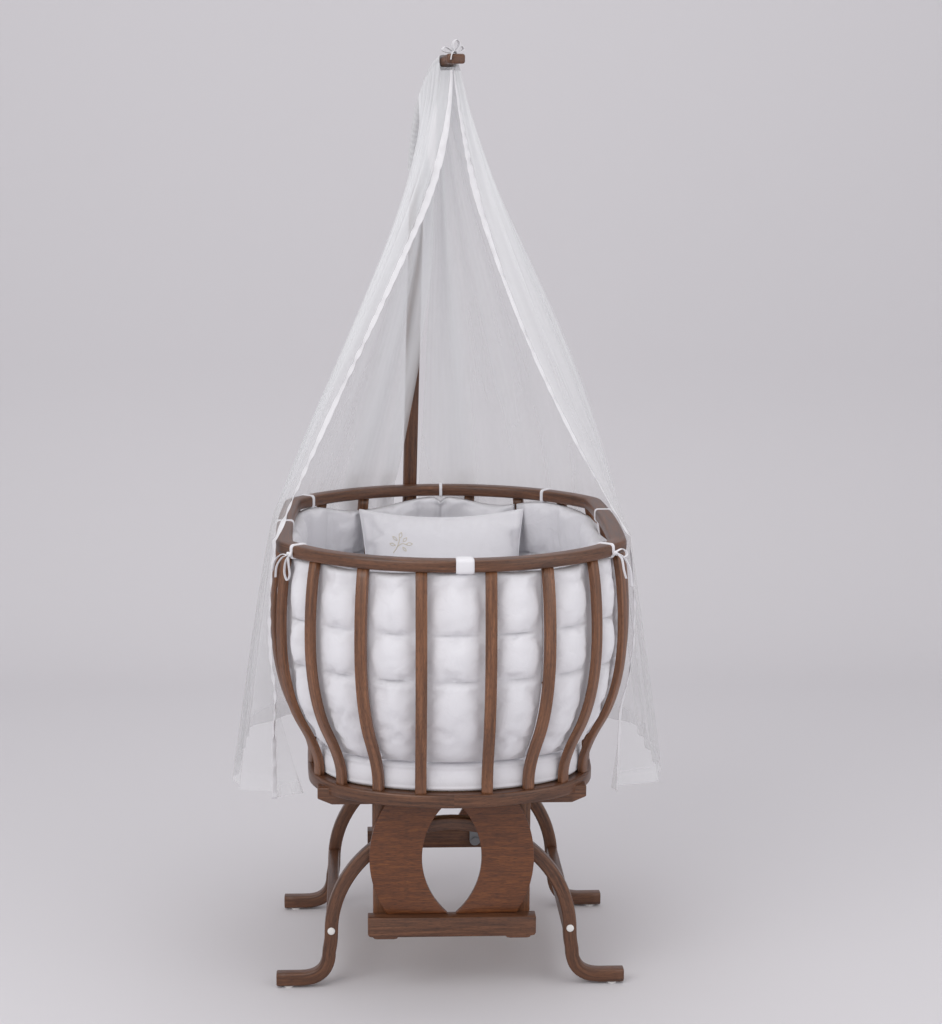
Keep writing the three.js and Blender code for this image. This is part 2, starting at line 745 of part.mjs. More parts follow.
function addSwingingFrame() {
  for (const [end, endName] of [[-1, 'front'], [1, 'rear']]) {
    addPiece(`${endName}_crossbar`, crossbarSolid(end), stainedWood);
    addPiece(`${endName}_bearer`, bearerSolid(end), stainedWood);
    for (const [side, sideName] of [[-1, 'left'], [1, 'right']]) {
      addPiece(`post_${endName}_${sideName}`, postSolid(end, side), stainedWood);
      addPiece(`panel_${endName}_${sideName}`, panelSolid(end, side), panelWood);
    }
  }
}

// Basket

// One steam-bent slat: a flat strip that follows the wall's profile.
function slatSolid(index) {
  const low = ringHoop.at(ringHoop.slatSeats()[index], slatInset).place;
  const high = rimHoop.at(rimHoop.slatSeats()[index], slatInset).place;
  const reach = high.clone().sub(low);
  const run = reach.length();
  const out = reach.clone().divideScalar(run);
  const across = new THREE.Vector2(-out.y, out.x);
  const profile = [
    [new THREE.Vector2(0, ringTop - slatTenon), new THREE.Vector2(0, 1)],
    [new THREE.Vector2(0, kinkHeight - 8), new THREE.Vector2(0, 1)],
  ];
  const follow = (curve, steps) => {
    for (let i = 1; i <= steps; i++) {
      const point = curve.getPoint(i / steps);
      const ahead = curve.getPoint(Math.min(1, i / steps + 0.01));
      const behind = curve.getPoint(Math.min(1, i / steps) - 0.01);
      const tangent = ahead.sub(behind);
      profile.push([new THREE.Vector2(point.x * run, point.y),
        new THREE.Vector2(tangent.x * run, tangent.y).normalize()]);
    }
  };
  follow(lowerSweep, 5);
  follow(upperSweep, 2);
  const rings = profile.map(([point, tangent], i) => {
    const top = i === profile.length - 1;
    const z = top ? rimBottom - seat : point.y;
    const back = new THREE.Vector2(point.x - slatThickness * (top ? 1 : tangent.y),
      top ? z : z + slatThickness * tangent.x);
    return [[point.x, z, 1], [point.x, z, -1], [back.x, back.y, -1], [back.x, back.y, 1]]
      .map(([x, height, hand]) => new THREE.Vector3(
        low.x + x * out.x + hand * across.x * slatWidth / 2,
        low.y + x * out.y + hand * across.y * slatWidth / 2, height));
  });
  return loft(rings);
}

// Ring with every slat glued into it.
function slattedFrameSolid() {
  const slats = Array.from({ length: slatCount }, (_, i) => slatSolid(i));
  return join(hoopSolid(ringHoop, ringBottom, ringHeight, ringWidth, ringEdge), ...slats);
}

// A flat or crowned stack of oval levels, each an inset from the ring and a height.
function ovalStack(levels, crown = 0) {
  const distances = ringHoop.stations(6, 4, 3);
  const rings = levels.map(([inset, z]) => distances.map((distance) => {
    const { place } = ringHoop.at(distance, inset);
    return new THREE.Vector3(place.x, place.y, z);
  }));
  const count = distances.length;
  const points = rings.flat();
  const triangles = [];
  for (let i = 0; i < rings.length - 1; i++) {
    for (let j = 0; j < count; j++) {
      const k = (j + 1) % count;
      const [a, b] = [i * count + j, i * count + k];
      triangles.push([a, b, b + count], [a, b + count, a + count]);
    }
  }
  const bottomCentre = points.length;
  points.push(new THREE.Vector3(0, 0, levels[0][1]));
  points.push(new THREE.Vector3(0, 0, levels.at(-1)[1] + crown));
  const top = (rings.length - 1) * count;
  for (let j = 0; j < count; j++) {
    const k = (j + 1) % count;
    triangles.push([bottomCentre, k, j], [bottomCentre + 1, top + j, top + k]);
  }
  return solidFrom(points, triangles);
}

function baseBoardSolid() {
  const inset = ringWidth + boardGap;
  return ovalStack([[inset, ringTop - boardThickness], [inset, ringTop]]);
}

function mattressSolid() {
  const edge = slatInset + slatThickness + beddingGap;
  const low = ringTop + seat;
  const high = low + mattressThickness - mattressCrown;
  return ovalStack([[edge + 9, low], [edge + 1.5, low + 12], [edge, (low + high) / 2],
    [edge + 1.5, high - 12], [edge + 9, high], [edge + 60, high + 0.5 * mattressCrown],
    [edge + 150, high + 0.9 * mattressCrown]], 0.1 * mattressCrown);
}

// Places on the slat circle where ties hold the bumpers to the rim.
const tiePlaces = {
  front: -0.5, right_front: 2.6, right_rear: 9.25, rear: 11.5, left_rear: 14.75, left: 17.75,
  left_front: 20.3,
};

function bumperTop(place) {
  const around = ((place % slatCount) + slatCount) % slatCount;
  const stops = Object.values(tiePlaces).map((p) => (p + slatCount) % slatCount).sort((a, b) => a - b);
  const next = stops.findIndex((p) => p > around);
  const to = next < 0 ? stops[0] + slatCount : stops[next];
  const from = next <= 0 ? stops.at(-1) - (next === 0 ? slatCount : 0) : stops[next - 1];
  const share = (around - from) / (to - from);
  const span = Math.min(1, (to - from) / 5);
  return rimBottom - bumperTopGap - bumperSag * span * Math.sin(Math.PI * share) ** 2;
}

// Depth that a slat takes up at a height, measured level and square to the hoops: more
// where it is steep, and at the corners, where it stands askew to the hoops.
function slatDepth(place, height) {
  const step = 2;
  const low = wallPoint(place, height - step);
  const high = wallPoint(place, height + step);
  const slope = Math.hypot(high.x - low.x, high.y - low.y) / (2 * step);
  const foot = ringHoop.at(distanceAtSlat(ringHoop, place), slatInset);
  const top = rimHoop.at(distanceAtSlat(rimHoop, place), slatInset);
  const face = top.place.clone().sub(foot.place).normalize();
  const normal = foot.out.clone().add(top.out).normalize();
  const askew = Math.abs(face.cross(normal));
  return slatThickness * Math.hypot(1, slope) + 0.6 * slatWidth * askew;
}

// A quilted bumper between two places on the slat circle: rows of cells that swell
// between the slats, sewn down along the slats and along two level seams.
function bumperSolid(from, to) {
  const low = kinkHeight + 8;
  const cells = to - from;
  const margin = bumperJointGap / 200;
  const cellSteps = [0, 0.16, 0.5, 0.84];
  const puff = (value) => Math.abs(Math.sin(Math.PI * value)) ** 0.65;
  const spot = (u, v) => {
    const step = Math.round(u * cells * cellSteps.length);
    const cell = Math.min(cells - 1, Math.floor(step / cellSteps.length));
    const within = step === cells * cellSteps.length ? 1 : cellSteps[step % cellSteps.length];
    const place = Math.min(to - margin, Math.max(from + margin, from + cell + within));
    const height = low + (bumperTop(place) - low) * v;
    const near = slatDepth(place, height) + beddingGap;
    const between = within === 0.5 ? 1 : 0;
    const swell = puff(v * bumperRows) * (0.45 + 0.55 * between);
    return { place, height, near, swell, between };
  };
  const outside = (u, v) => {
    const { place, height, near, swell, between } = spot(u, v);
    return wallPoint(place, height, near - bumperBulge * between * swell);
  };
  const inside = (u, v) => {
    const { place, height, near, swell } = spot(u, v);
    const thickness = bumperSeamThickness + (bumperThickness - bumperSeamThickness) * swell;
    return wallPoint(place, height, near + thickness);
  };
  return padBetween(cellSteps.length * cells, 2 * bumperRows, outside, inside);
}

// A square pillow that leans on the rear bumper: crowned both ways, its sides drawn in.
function pillowSolid() {
  const steps = 12;
  const face = (hand) => (u, v) => {
    const [x, y] = [2 * u - 1, 2 * v - 1];
    const crown = ((1 - Math.abs(x) ** 2.6) * (1 - Math.abs(y) ** 2.6)) ** 0.55;
    return new THREE.Vector3(
      x * pillowWidth / 2 * (1 - pillowWaist * (1 - y * y)),
      y * pillowHeight / 2 * (1 - pillowWaist * (1 - x * x)),
      hand * (1.5 + (pillowThickness / 2 - 1.5) * crown),
    );
  };
  const geometry = padBetween(steps, steps, face(1), face(-1));
  const mattressTop = ringTop + seat + mattressThickness;
  const lean = pillowLean * degrees;
  geometry.rotateX(Math.PI / 2 - lean);
  const middle = mattressTop + pillowHeight / 2 * Math.cos(lean) + pillowLift;
  return geometry.translate(0, pillowRestY(middle), middle);
}

// How far back the pillow's middle lies when its back touches the rear bumper.
function pillowRestY(middle) {
  const lean = pillowLean * degrees;
  const rearMiddle = slatCount / 2 - 0.5;
  const innerFace = (z) => wallPoint(rearMiddle, z,
    slatDepth(rearMiddle, z) + beddingGap + bumperThickness).y;
  let rest = Infinity;
  for (let share = -0.9; share <= 0.91; share += 0.1) {
    const along = share * pillowHeight / 2;
    const crown = (1 - Math.abs(share) ** 2.6) ** 0.55;
    const z = middle + along * Math.cos(lean) - pillowThickness / 2 * crown * Math.sin(lean);
    const y = along * Math.sin(lean) + pillowThickness / 2 * crown * Math.cos(lean);
    rest = Math.min(rest, innerFace(z) - y);
  }
  return rest - pillowForward;
}

function addBasket() {
  const rim = hoopSolid(rimHoop, rimBottom, rimHeight, rimWidth, rimEdge);
  addPiece('slatted_frame', cut(slattedFrameSolid(), ...mastRoom()), stainedWood);
  addPiece('base_board', baseBoardSolid(), plywood);
  addPiece('rim', cut(rim, ...mastRoom()), stainedWood);
  addPiece('mattress', mattressSolid(), cotton);
  const corner = slatsPerQuarterBow - 2;
  const rearMiddle = slatCount / 2 - 0.5;
  const rear = rearMiddle - 0.5 - corner;
  addPiece('bumper_right', bumperSolid(corner, rear), cotton);
  addPiece('bumper_rear', bumperSolid(rear, slatCount - 1 - rear), cotton);
  addPiece('bumper_left', bumperSolid(slatCount - 1 - rear, slatCount - 1 - corner), cotton);
  addPiece('bumper_front', bumperSolid(slatCount - 1 - corner, slatCount + corner), cotton);
  addPiece('pillow', pillowSolid(), cotton);
}

// Mast. It leans towards the basket, then bends over to end level above it.
const mastTowards = new THREE.Vector3(Math.sin(mastTurn * degrees), -Math.cos(mastTurn * degrees), 0);
const mastAcross = new THREE.Vector3(Math.cos(mastTurn * degrees), Math.sin(mastTurn * degrees), 0);

// The mast's centre line at an angle of its bend, where the lean is the start and 90 is level.
function mastBend(angleInDegrees) {
  const lean = mastLean * degrees;
  const angle = angleInDegrees * degrees;
  const start = mastTopHeight - mastBendRadius * (1 - Math.sin(lean));
  const reach = (start - bulgeHeight) * Math.tan(lean)
    + mastBendRadius * (Math.cos(lean) - Math.cos(angle));
  const height = start + mastBendRadius * (Math.sin(angle) - Math.sin(lean));
  return mastPlace(reach, height);
}

function mastPlace(reach, height) {
  const half = mastThickness / 2;
  return new THREE.Vector3(mastX, mastFootY, height)
    .addScaledVector(mastTowards, reach - half);
}

// Points of the mast's centre line, each with the angle of its tangent from upright.
function mastStations(steps) {
  const lean = mastLean * degrees;
  const foot = mastPlace((mastBottom - bulgeHeight) * Math.tan(lean), mastBottom);
  const stations = [[foot, mastLean]];
  for (let i = 0; i <= steps; i++) {
    const angle = mastLean + (90 - mastLean) * i / steps;
    stations.push([mastBend(angle), angle]);
  }
  return stations;
}

// A ring of eight points round the mast: a rectangle with its corners cut.
function mastRing(centre, angleInDegrees, width, thickness, edge) {
  const angle = angleInDegrees * degrees;
  const inward = mastTowards.clone().multiplyScalar(Math.cos(angle));
  inward.z = -Math.sin(angle);
  const [w, t, e] = [width / 2, thickness / 2, edge];
  return [[w, t - e], [w - e, t], [e - w, t], [-w, t - e], [-w, e - t], [e - w, -t], [w - e, -t],
    [w, e - t]].map(([a, b]) => centre.clone().addScaledVector(mastAcross, a)
    .addScaledVector(inward, b));
}

function mastSolid() {
  const rings = mastStations(10).map(([centre, angle]) => mastRing(
    centre, angle, mastWidth, mastThickness, mastEdge));
  return cut(loft(rings), ...mastBoltPlaces().map((p) => mastBoltRod(p, mastBoltRadius + boreClearance,
    -mastThickness, 2 * mastThickness)));
}

function mastHeadSolid() {
  const end = mastBend(90);
  const rings = [[seat, 0], [seat + 3, 1], [mastHeadLength - 4, 1], [mastHeadLength, 0]]
    .map(([along, full]) => mastRing(end.clone().addScaledVector(mastTowards, along), 90,
      mastHeadWidth - 4 * (1 - full), mastHeadHeight - 4 * (1 - full), mastEdge + 1));
  return loft(rings);
}

// The upper bolt goes into the rim and the lower one into the slat behind the mast.
function mastBoltPlaces() {
  return [rimBottom + rimHeight / 2, bulgeHeight].map((height) => mastPlace(
    (height - bulgeHeight) * Math.tan(mastLean * degrees), height));
}

// A rod square to the mast's wide face, from behind the mast forwards.
function mastBoltRod(centre, radius, from, to, segments = 12) {
  const geometry = new THREE.CylinderGeometry(radius, radius, to - from, segments);
  geometry.translate(0, -(from + to) / 2, 0);
  geometry.rotateZ(mastTurn * degrees);
  return geometry.translate(centre.x, centre.y, centre.z);
}

function mastBoltSolid(centre) {
  const face = mastThickness / 2 + seat + 1;
  const head = mastBoltRod(centre, mastBoltHeadRadius, -face - mastBoltHeadHeight, -face);
  const shank = mastBoltRod(centre, mastBoltRadius, -face - 1, mastThickness / 2 + mastBoltGrip);
  return join(head, shank);
}

// What the mast and its bolts take out of the rim and the slat behind them.
function mastRoom() {
  const rings = mastStations(2).slice(0, 2).map(([centre, angle]) => mastRing(
    centre, angle, mastWidth + 2 * seat, mastThickness + 2 * seat, mastEdge));
  const rods = mastBoltPlaces().map((place) => mastBoltRod(
    place, mastBoltRadius + boreClearance, 0, mastThickness / 2 + mastBoltGrip + 1));
  return [loft(rings), ...rods];
}

// Canopy

// A closed loop of cloth round a ring of points, with an even thickness, along a row of rings.
function clothTube(innerRings, outerRings) {
  const count = innerRings[0].length;
  const length = innerRings.length;
  const points = [...innerRings.flat(), ...outerRings.flat()];
  const shift = length * count;
  const triangles = [];
  for (let i = 0; i < length - 1; i++) {
    for (let j = 0; j < count; j++) {
      const k = (j + 1) % count;
      const [a, b, c, d] = [i * count + j, i * count + k, (i + 1) * count + k, (i + 1) * count + j];
      triangles.push([a, b, c], [a, c, d]);
      triangles.push([shift + a, shift + c, shift + b], [shift + a, shift + d, shift + c]);
    }
  }
  for (let j = 0; j < count; j++) {
    const k = (j + 1) % count;
    const end = (length - 1) * count;
    triangles.push([j, shift + k, k], [j, shift + j, shift + k]);
    triangles.push([end + j, end + k, shift + end + k], [end + j, shift + end + k, shift + end + j]);
  }
  return solidFrom(points, triangles);
}

const sleeveStart = 90 - sleeveSweep;
const sleeveGap = 1.2;

// Gathered sleeve on the mast's bend: its section swells and tightens along the way.
function sleeveSolid() {
  const steps = 18;
  const rings = [sleeveGap, sleeveGap + sleeveThickness].map((away) => {
    const row = [];
    for (let i = 0; i <= steps; i++) {
      const angle = sleeveStart + (88 - sleeveStart) * i / steps;
      const gather = i % 2 ? 1.6 : 0;
      row.push(mastRing(mastBend(angle), angle, mastWidth + 2 * (away + gather / 2),
        mastThickness + 2 * (away + gather), mastEdge + away / 2));
    }
    return row;
  });
  return clothTube(...rings);
}

// Where one half hangs from the sleeve: u runs from the tip (0) to the sleeve's end (1).
function canopyTop(hand, u) {
  const angle = 87 - (86 - sleeveStart) * u;
  const under = Math.max(0, 1 - u / 0.12);
  const beside = mastWidth / 2 + sleeveGap + sleeveThickness + seat + 0.5;
  const side = beside - (beside - canopyMeeting) * Math.max(0, 2 * under - 1);
  const point = mastBend(angle).addScaledVector(mastAcross, hand * side);
  point.z -= 4 * Math.sin(angle * degrees) + canopyTuck * Math.min(1, 2 * under);
  return point;
}

// Distance round the rim at which one half crosses it, for the same u.
function canopyRimPlace(hand, u) {
  const front = hand < 0 ? canopyFrontSlat : slatCount - 1 - canopyFrontSlat;
  const back = hand < 0 ? canopyBackLeft : canopyBackRight;
  const from = distanceAtSlat(rimHoop, front);
  const to = distanceAtSlat(rimHoop, back);
  return from + (to - from) * u;
}

// How far a fold stands out: canopyFolds folds over u, deeper where foldDepth is larger.
function foldWave(u) {
  return 0.5 - 0.5 * Math.cos(2 * Math.PI * canopyFolds * u);
}

// One half of the canopy. v runs down it, from the sleeve (0) over the rim (rimShare) to
// the hem (1). hand is -1 for the left half, 1 for the right half.
const canopyRows = 13;
const rimShare = 9 / canopyRows;

function canopyPoint(hand, u, v, away) {
  const top = canopyTop(hand, u);
  const { place, out } = rimHoop.at(canopyRimPlace(hand, u));
  const outward = new THREE.Vector3(out.x, out.y, 0);
  const rim = new THREE.Vector3(place.x, place.y, rimTop + 4)
    .addScaledVector(outward, canopyRimGap);
  const wave = foldWave(u);
  if (v >= rimShare) {
    const down = (v - rimShare) / (1 - rimShare);
    const sideways = Math.abs(out.x) ** 1.5;
    const flare = (10 + (canopyFlare - 10) * sideways) * down ** 0.8;
    const fold = (3 + (foldDepthHem - 3) * down) * wave;
    const point = rim.addScaledVector(outward, flare + fold + away);
    point.z += (canopyHem - point.z) * down;
    return point;
  }
  const s = v / rimShare;
  const tie = 1 - u;
  const firstReach = hand < 0 ? 0.02 - 0.5 * u ** 6 : 0.04;
  const first = top.clone().lerp(rim, firstReach);
  first.z = top.z - (top.z - rim.z) * 0.3;
  const second = top.clone().lerp(rim, 0.5 + 0.1 * tie);
  second.z = top.z - (top.z - rim.z) * 0.62;
  if (hand < 0) second.y -= 40 * u ** 6;
  const point = new THREE.CubicBezierCurve3(top, first, second, rim).getPoint(s);
  const side = new THREE.Vector3().copy(mastAcross).multiplyScalar(hand);
  const blend = Math.min(1, 3 * s);
  const normal = side.lerp(outward, blend).normalize();
  const depth = foldDepthTop + (foldDepthMiddle - foldDepthTop) * Math.sin(Math.PI * s) ** 0.7
    + (3 - foldDepthTop) * s ** 4;
  return point.addScaledVector(normal, depth * wave + away);
}

function canopyHalfSolid(hand) {
  const surface = (away) => (u, v) => canopyPoint(hand, u, v, away);
  return padBetween(3 * canopyFolds, canopyRows, surface(tulleThickness), surface(0));
}

// A strip of even width and thickness. Each station holds a point of its middle line, the
// direction of its width and the direction of its face.
function stripSolid(stations, width, thickness) {
  const rings = stations.map(([point, across, face]) => [[1, 1], [1, -1], [-1, -1], [-1, 1]]
    .map(([a, f]) => point.clone().addScaledVector(across, a * width / 2)
      .addScaledVector(face, f * thickness / 2)));
  return loft(rings);
}

// Satin trimming: up the left front edge, under the tip and down the right front edge.
function trimSolid() {
  const edgeStation = (hand, v) => {
    const middle = tulleThickness / 2;
    const edge = canopyPoint(hand, 0, v, middle);
    const within = canopyPoint(hand, 1 / (3 * canopyFolds), v, middle);
    const forward = edge.clone().sub(within).normalize();
    const face = canopyPoint(hand, 0, v, middle + 1).sub(edge).normalize();
    const point = edge.addScaledVector(forward, trimWidth / 2 + seat);
    return [point, forward, face];
  };
  const down = Array.from({ length: canopyRows + 1 }, (_, i) => i / canopyRows);
  const left = down.map((v) => edgeStation(-1, v)).reverse();
  const right = down.map((v) => edgeStation(1, v));
  const middle = left.at(-1)[0].clone().add(right[0][0]).multiplyScalar(0.5);
  middle.z += 3;
  const crossing = [middle, mastTowards, new THREE.Vector3(0, 0, 1)];
  return stripSolid([...left, crossing, ...right], trimWidth, trimThickness);
}

// Ties

// A band round the rim's section.
function bandSolid(place, width) {
  const middle = distanceAtSlat(rimHoop, place);
  const rings = [seat, seat + tieThickness].map((away) => [-0.5, 0, 0.5].map((share) => {
    const [low, high] = [rimBottom - away, rimTop + away];
    const [outer, inner, e] = [-away, rimWidth + away + rimFacet, rimEdge];
    return [[outer, low + e], [outer, high - e], [outer + e, high], [inner - e, high],
      [inner, high - e], [inner, low + e], [inner - e, low], [outer + e, low]]
      .map(([inset, z]) => {
        const spot = rimHoop.at(middle + share * width, inset).place;
        return new THREE.Vector3(spot.x, spot.y, z);
      });
  }));
  return clothTube(...rings);
}

// The rim's outer face at a place, with its directions along and out of the rim.
function rimFrame(place, outset) {
  const { place: spot, out } = rimHoop.at(distanceAtSlat(rimHoop, place), -outset);
  return {
    origin: new THREE.Vector3(spot.x, spot.y, rimBottom + rimHeight / 2),
    along: new THREE.Vector3(out.y, -out.x, 0),
    out: new THREE.Vector3(out.x, out.y, 0),
  };
}

// Two loops, a knot and two tails on the outer face of the rim.
function bowParts(place, loop, tail) {
  const { origin, along, out } = rimFrame(place, seat + tieThickness + ribbonWidth / 2 - 0.6);
  const at = (a, z) => origin.clone().addScaledVector(along, a).add(new THREE.Vector3(0, 0, z));
  const strip = (spots) => {
    const curve = new THREE.CatmullRomCurve3(spots.map(([a, z]) => at(a, z)));
    const count = spots.length + 1;
    const stations = Array.from({ length: count + 1 }, (_, i) => {
      const tangent = curve.getTangent(i / count);
      return [curve.getPoint(i / count), out, tangent.cross(out).normalize()];
    });
    return stripSolid(stations, ribbonWidth, tieThickness);
  };
  const knot = new THREE.BoxGeometry(9, ribbonWidth + 1, 9);
  knot.applyMatrix4(new THREE.Matrix4().makeBasis(along, out, new THREE.Vector3(0, 0, 1)));
  knot.translate(origin.x, origin.y, origin.z);
  const parts = [knot];
  for (const hand of [-1, 1]) {
    if (loop > 0) {
      const puff = [[3, 2], [0.4 * loop, 0.2 * loop], [0.8 * loop, 0.24 * loop], [loop, 0.1 * loop]];
      parts.push(loft(puff.map(([a, half], i) => [[1, 1], [1, -1], [-1, -1], [-1, 1]].map(
        ([up, deep]) => at(hand * a, up * half - 0.7 * i).addScaledVector(out, deep * 2.6)))));
    }
    parts.push(strip([[hand * 2, -3.8], [hand * 0.2 * tail, -0.5 * tail],
      [hand * 0.16 * tail, -tail]]));
  }
  return parts;
}

function addTies() {
  const { front, right_front: rightFront, left_front: leftFront, ...plain } = tiePlaces;
  addPiece('tie_front', bandSolid(front, strapWidth), cotton);
  addPiece('tie_right_front', join(bandSolid(rightFront, ribbonWidth),
    ...bowParts(rightFront, 0, bowTailLength)), cotton);
  addPiece('tie_left_front', join(bandSolid(leftFront, ribbonWidth),
    ...bowParts(leftFront, bowLoopLength, bowTailLength)), cotton);
  for (const [name, place] of Object.entries(plain)) {
    addPiece(`tie_${name}`, bandSolid(place, ribbonWidth), cotton);
  }
}

function addMastAndCanopy() {
  addPiece('mast', mastSolid(), stainedWood);
  addPiece('mast_head', mastHeadSolid(), stainedWood);
  const [upper, lower] = mastBoltPlaces();
  addPiece('mast_bolt_upper', mastBoltSolid(upper), steel);
  addPiece('mast_bolt_lower', mastBoltSolid(lower), steel);
  addPiece('canopy_sleeve', sleeveSolid(), tulle);
  addPiece('canopy_left', canopyHalfSolid(-1), tulle);
  addPiece('canopy_right', canopyHalfSolid(1), tulle);
  addPiece('canopy_trim', trimSolid(), satin);
}

// The mast's directions are needed by the basket, so everything is added at the end.
addStand();
addLinks();
addSwingingFrame();
addBasket();
addMastAndCanopy();
addTies();

export default model;
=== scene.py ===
"""Looks of a rocking cradle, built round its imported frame. Laid out as an add-on and run as
a script. Lengths in the code are in millimetres unless a name or a comment says otherwise;
meshes and the properties' lengths are in metres."""

import math

import bmesh
import bpy
import numpy as np
from bpy.props import FloatProperty, FloatVectorProperty, PointerProperty
from mathutils import Matrix, Vector, noise
from mathutils.bvhtree import BVHTree


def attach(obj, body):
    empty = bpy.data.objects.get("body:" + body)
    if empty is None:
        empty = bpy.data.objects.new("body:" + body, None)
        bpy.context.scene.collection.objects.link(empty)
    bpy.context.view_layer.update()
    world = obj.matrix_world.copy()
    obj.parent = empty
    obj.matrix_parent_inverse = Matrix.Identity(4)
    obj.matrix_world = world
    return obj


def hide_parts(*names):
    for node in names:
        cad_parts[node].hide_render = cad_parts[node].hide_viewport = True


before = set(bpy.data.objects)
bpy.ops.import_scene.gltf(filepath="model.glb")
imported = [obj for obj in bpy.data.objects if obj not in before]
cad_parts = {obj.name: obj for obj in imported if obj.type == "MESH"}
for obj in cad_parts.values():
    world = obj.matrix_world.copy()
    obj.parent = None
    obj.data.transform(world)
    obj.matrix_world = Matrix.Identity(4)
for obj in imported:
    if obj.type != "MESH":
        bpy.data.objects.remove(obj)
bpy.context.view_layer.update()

bl_info = {
    "name": "Rocking cradle",
    "version": (1, 0, 0),
    "blender": (4, 5, 0),
    "location": "3D View > Sidebar > Cradle",
    "description": "Dresses the frame of a rocking cradle with a canopy",
    "category": "Add Mesh",
}

MM = 0.001
CENTRE_SHIFT = -12.1     # of the whole along Y
SEAT = 0.3               # gap between pieces laid together
ENDS = (("front", -1), ("rear", 1))
SIDES = (("left", -1), ("right", 1))

# Stand
LEG_SPACING, LEG_DEPTH, LEG_BAND, LEG_SPAN, LEG_EDGE = 450, 26, 27, 700, 4.5
LEG_TIP = 0.86           # of the leg's section, at the rounded tips of its feet
ARCH_HALF_WIDTH, ARCH_RISE, SPRINGING = 239.5, 224.5, 115
FOOT_RADIUS, FOOT_LINE, FOOT_SPREAD = 58, 17.5, 4.5
STRETCHER_LINE, STRETCHER_HEIGHT, STRETCHER_WIDTH = 120, 40, 22
LEG_FACE = LEG_SPACING / 2 + LEG_DEPTH / 2
CAP_RADIUS, CAP_HEIGHT = 7.5, 3

# Swinging frame
CROSSBAR_HALF, CROSSBAR_LOW, CROSSBAR_HIGH = 166.5, 125, 165
CROSSBAR_INNER, CROSSBAR_DEPTH, CROSSBAR_CORNER = 257.3, 34, 6
BAR_PAD_HEIGHT, BAR_PAD_LENGTH, BAR_PAD_INSET = 4, 49, 10.5
POST_INNER, POST_OUTER, POST_X, POST_WIDTH, POST_LIFT = 243, 257, 156, 28, 6
PANEL_HALF, PANEL_EDGE_RADIUS = 163, 211.5
PANEL_GAP_HALF, PANEL_GAP_RADIUS, PANEL_THICKNESS, PANEL_EDGE = 59, 154.5, 12, 1.6
BEARER_LOW, BEARER_HIGH, BEARER_HALF, BEARER_DEPTH = 395.7, 429.7, 264, 38
BEARER_CUT_LONG, BEARER_CUT_HIGH = 28, 12

# Basket
RING_LOW, RING_HEIGHT, RING_WIDTH, RING_EDGE = 415, 27, 30, 5
RIM_LOW, RIM_HEIGHT, RIM_WIDTH, RIM_EDGE = 891, 24, 33, 6
SLAT_WIDTH, SLAT_THICKNESS, SLAT_EDGE, SLAT_INSET, SLAT_COUNT = 22, 13, 2.6, 4, 24
SLAT_FOOT = 3            # depth of a slat's end in the ring
KINK, BULGE, BULGE_SHARE = 505, 740, 1.22
STRAIGHT, BEND_LOW = 448, 456          # heights of a slat's straight foot and of its soft bend
BEND_SHARE = 0.3         # of the lower sweep, where the soft bend ends

# Bedding
MATTRESS_LOW, MATTRESS_THICKNESS, MATTRESS_CROWN = 442.3, 66, 12
BEDDING_GAP = 3          # between the bedding and the slats
BUMPER_LOW, BUMPER_SEAMS, BUMPER_TOP_GAP = 502, (680, 770), 2.4
BUMPER_SAG, BUMPER_SAG_FRONT, BUMPER_BULGE, BUMPER_DRAW = 38, 9, 13, 8
BUMPER_MARGIN = 0.03     # of a cell, left free at each end of a bumper
CELL_WIDTH, CELL_END = 90, 18          # of a bumper's cells, and of their round ends
NOTCH_WIDTH, NOTCH_DEPTH = 0.07, 12    # in cells and millimetres, beside the rear tie
PILLOW_WIDTH, PILLOW_HEIGHT, PILLOW_LEAN = 362, 402, 24
PILLOW_LIFT, PILLOW_FORWARD, PILLOW_WAIST = -4.4, 36, 0.1
PILLOW_HEM = 1.5         # half the thickness of the pillow's edge
PILLOW_SQUARE, PILLOW_FULL = 2.6, 0.55 # powers of its outline and of its crown
SPRIG_PLACE = (-0.57, 0.6)             # of the pillow's half width and half height
SPRIG_SIZE = 0.75
AIR_FRAMES = 20
# Before the air fills them, a bumper has this share of its thickness, and the pillow is
# this much thinner
BUMPER_FIRM, PILLOW_AIR = 0.8, 8

# Mast
MAST_X, MAST_WIDTH, MAST_THICKNESS, MAST_EDGE, MAST_LOW = -70, 30, 17, 5, 690
MAST_FOOT_Y, MAST_LEAN, MAST_TURN = 459.7, 4.5, 16
MAST_BEND, MAST_TOP = 257, 1842
HEAD_WIDTH, HEAD_HEIGHT, HEAD_EDGE = 38, 20, 5

# Canopy. Angles are degrees of the mast's bend.
SLEEVE_LOW, SLEEVE_HIGH = 6, 81
GATHER_LOW, GATHER_HIGH = 45, 87       # between which the halves are gathered
SLEEVE_ROOM = 4.1        # from the mast's side to the halves beside the sleeve
CANOPY_HEM, CANOPY_MEETING, CANOPY_RIM_GAP, CANOPY_FOLDS = 402, 4, 4, 9
CANOPY_FRONT = {-1: 19.8, 1: 3.4}      # left and right: places on the slat circle
CANOPY_BACK = {-1: 12.3, 1: 11.86}
CANOPY_PLUMB = {-1: 8, 1: -14}
CANOPY_TUCK = {-1: 98, 1: 52}
CANOPY_LOOSE, CANOPY_REAR_FLARE, CANOPY_FLARE = 8, 13, 74
CANOPY_CLEAR, CANOPY_EASE = 6, 12      # from the slats, and how softly the veil keeps it
VEIL_AWAY = 1.2          # outwards from the rim and the sleeve, all over
RIM_SHARE = 9 / 13       # of the way down a half, where it crosses the rim
FIRST_FOLD = 1 / 27      # of the way round a half, where its first fold is deepest

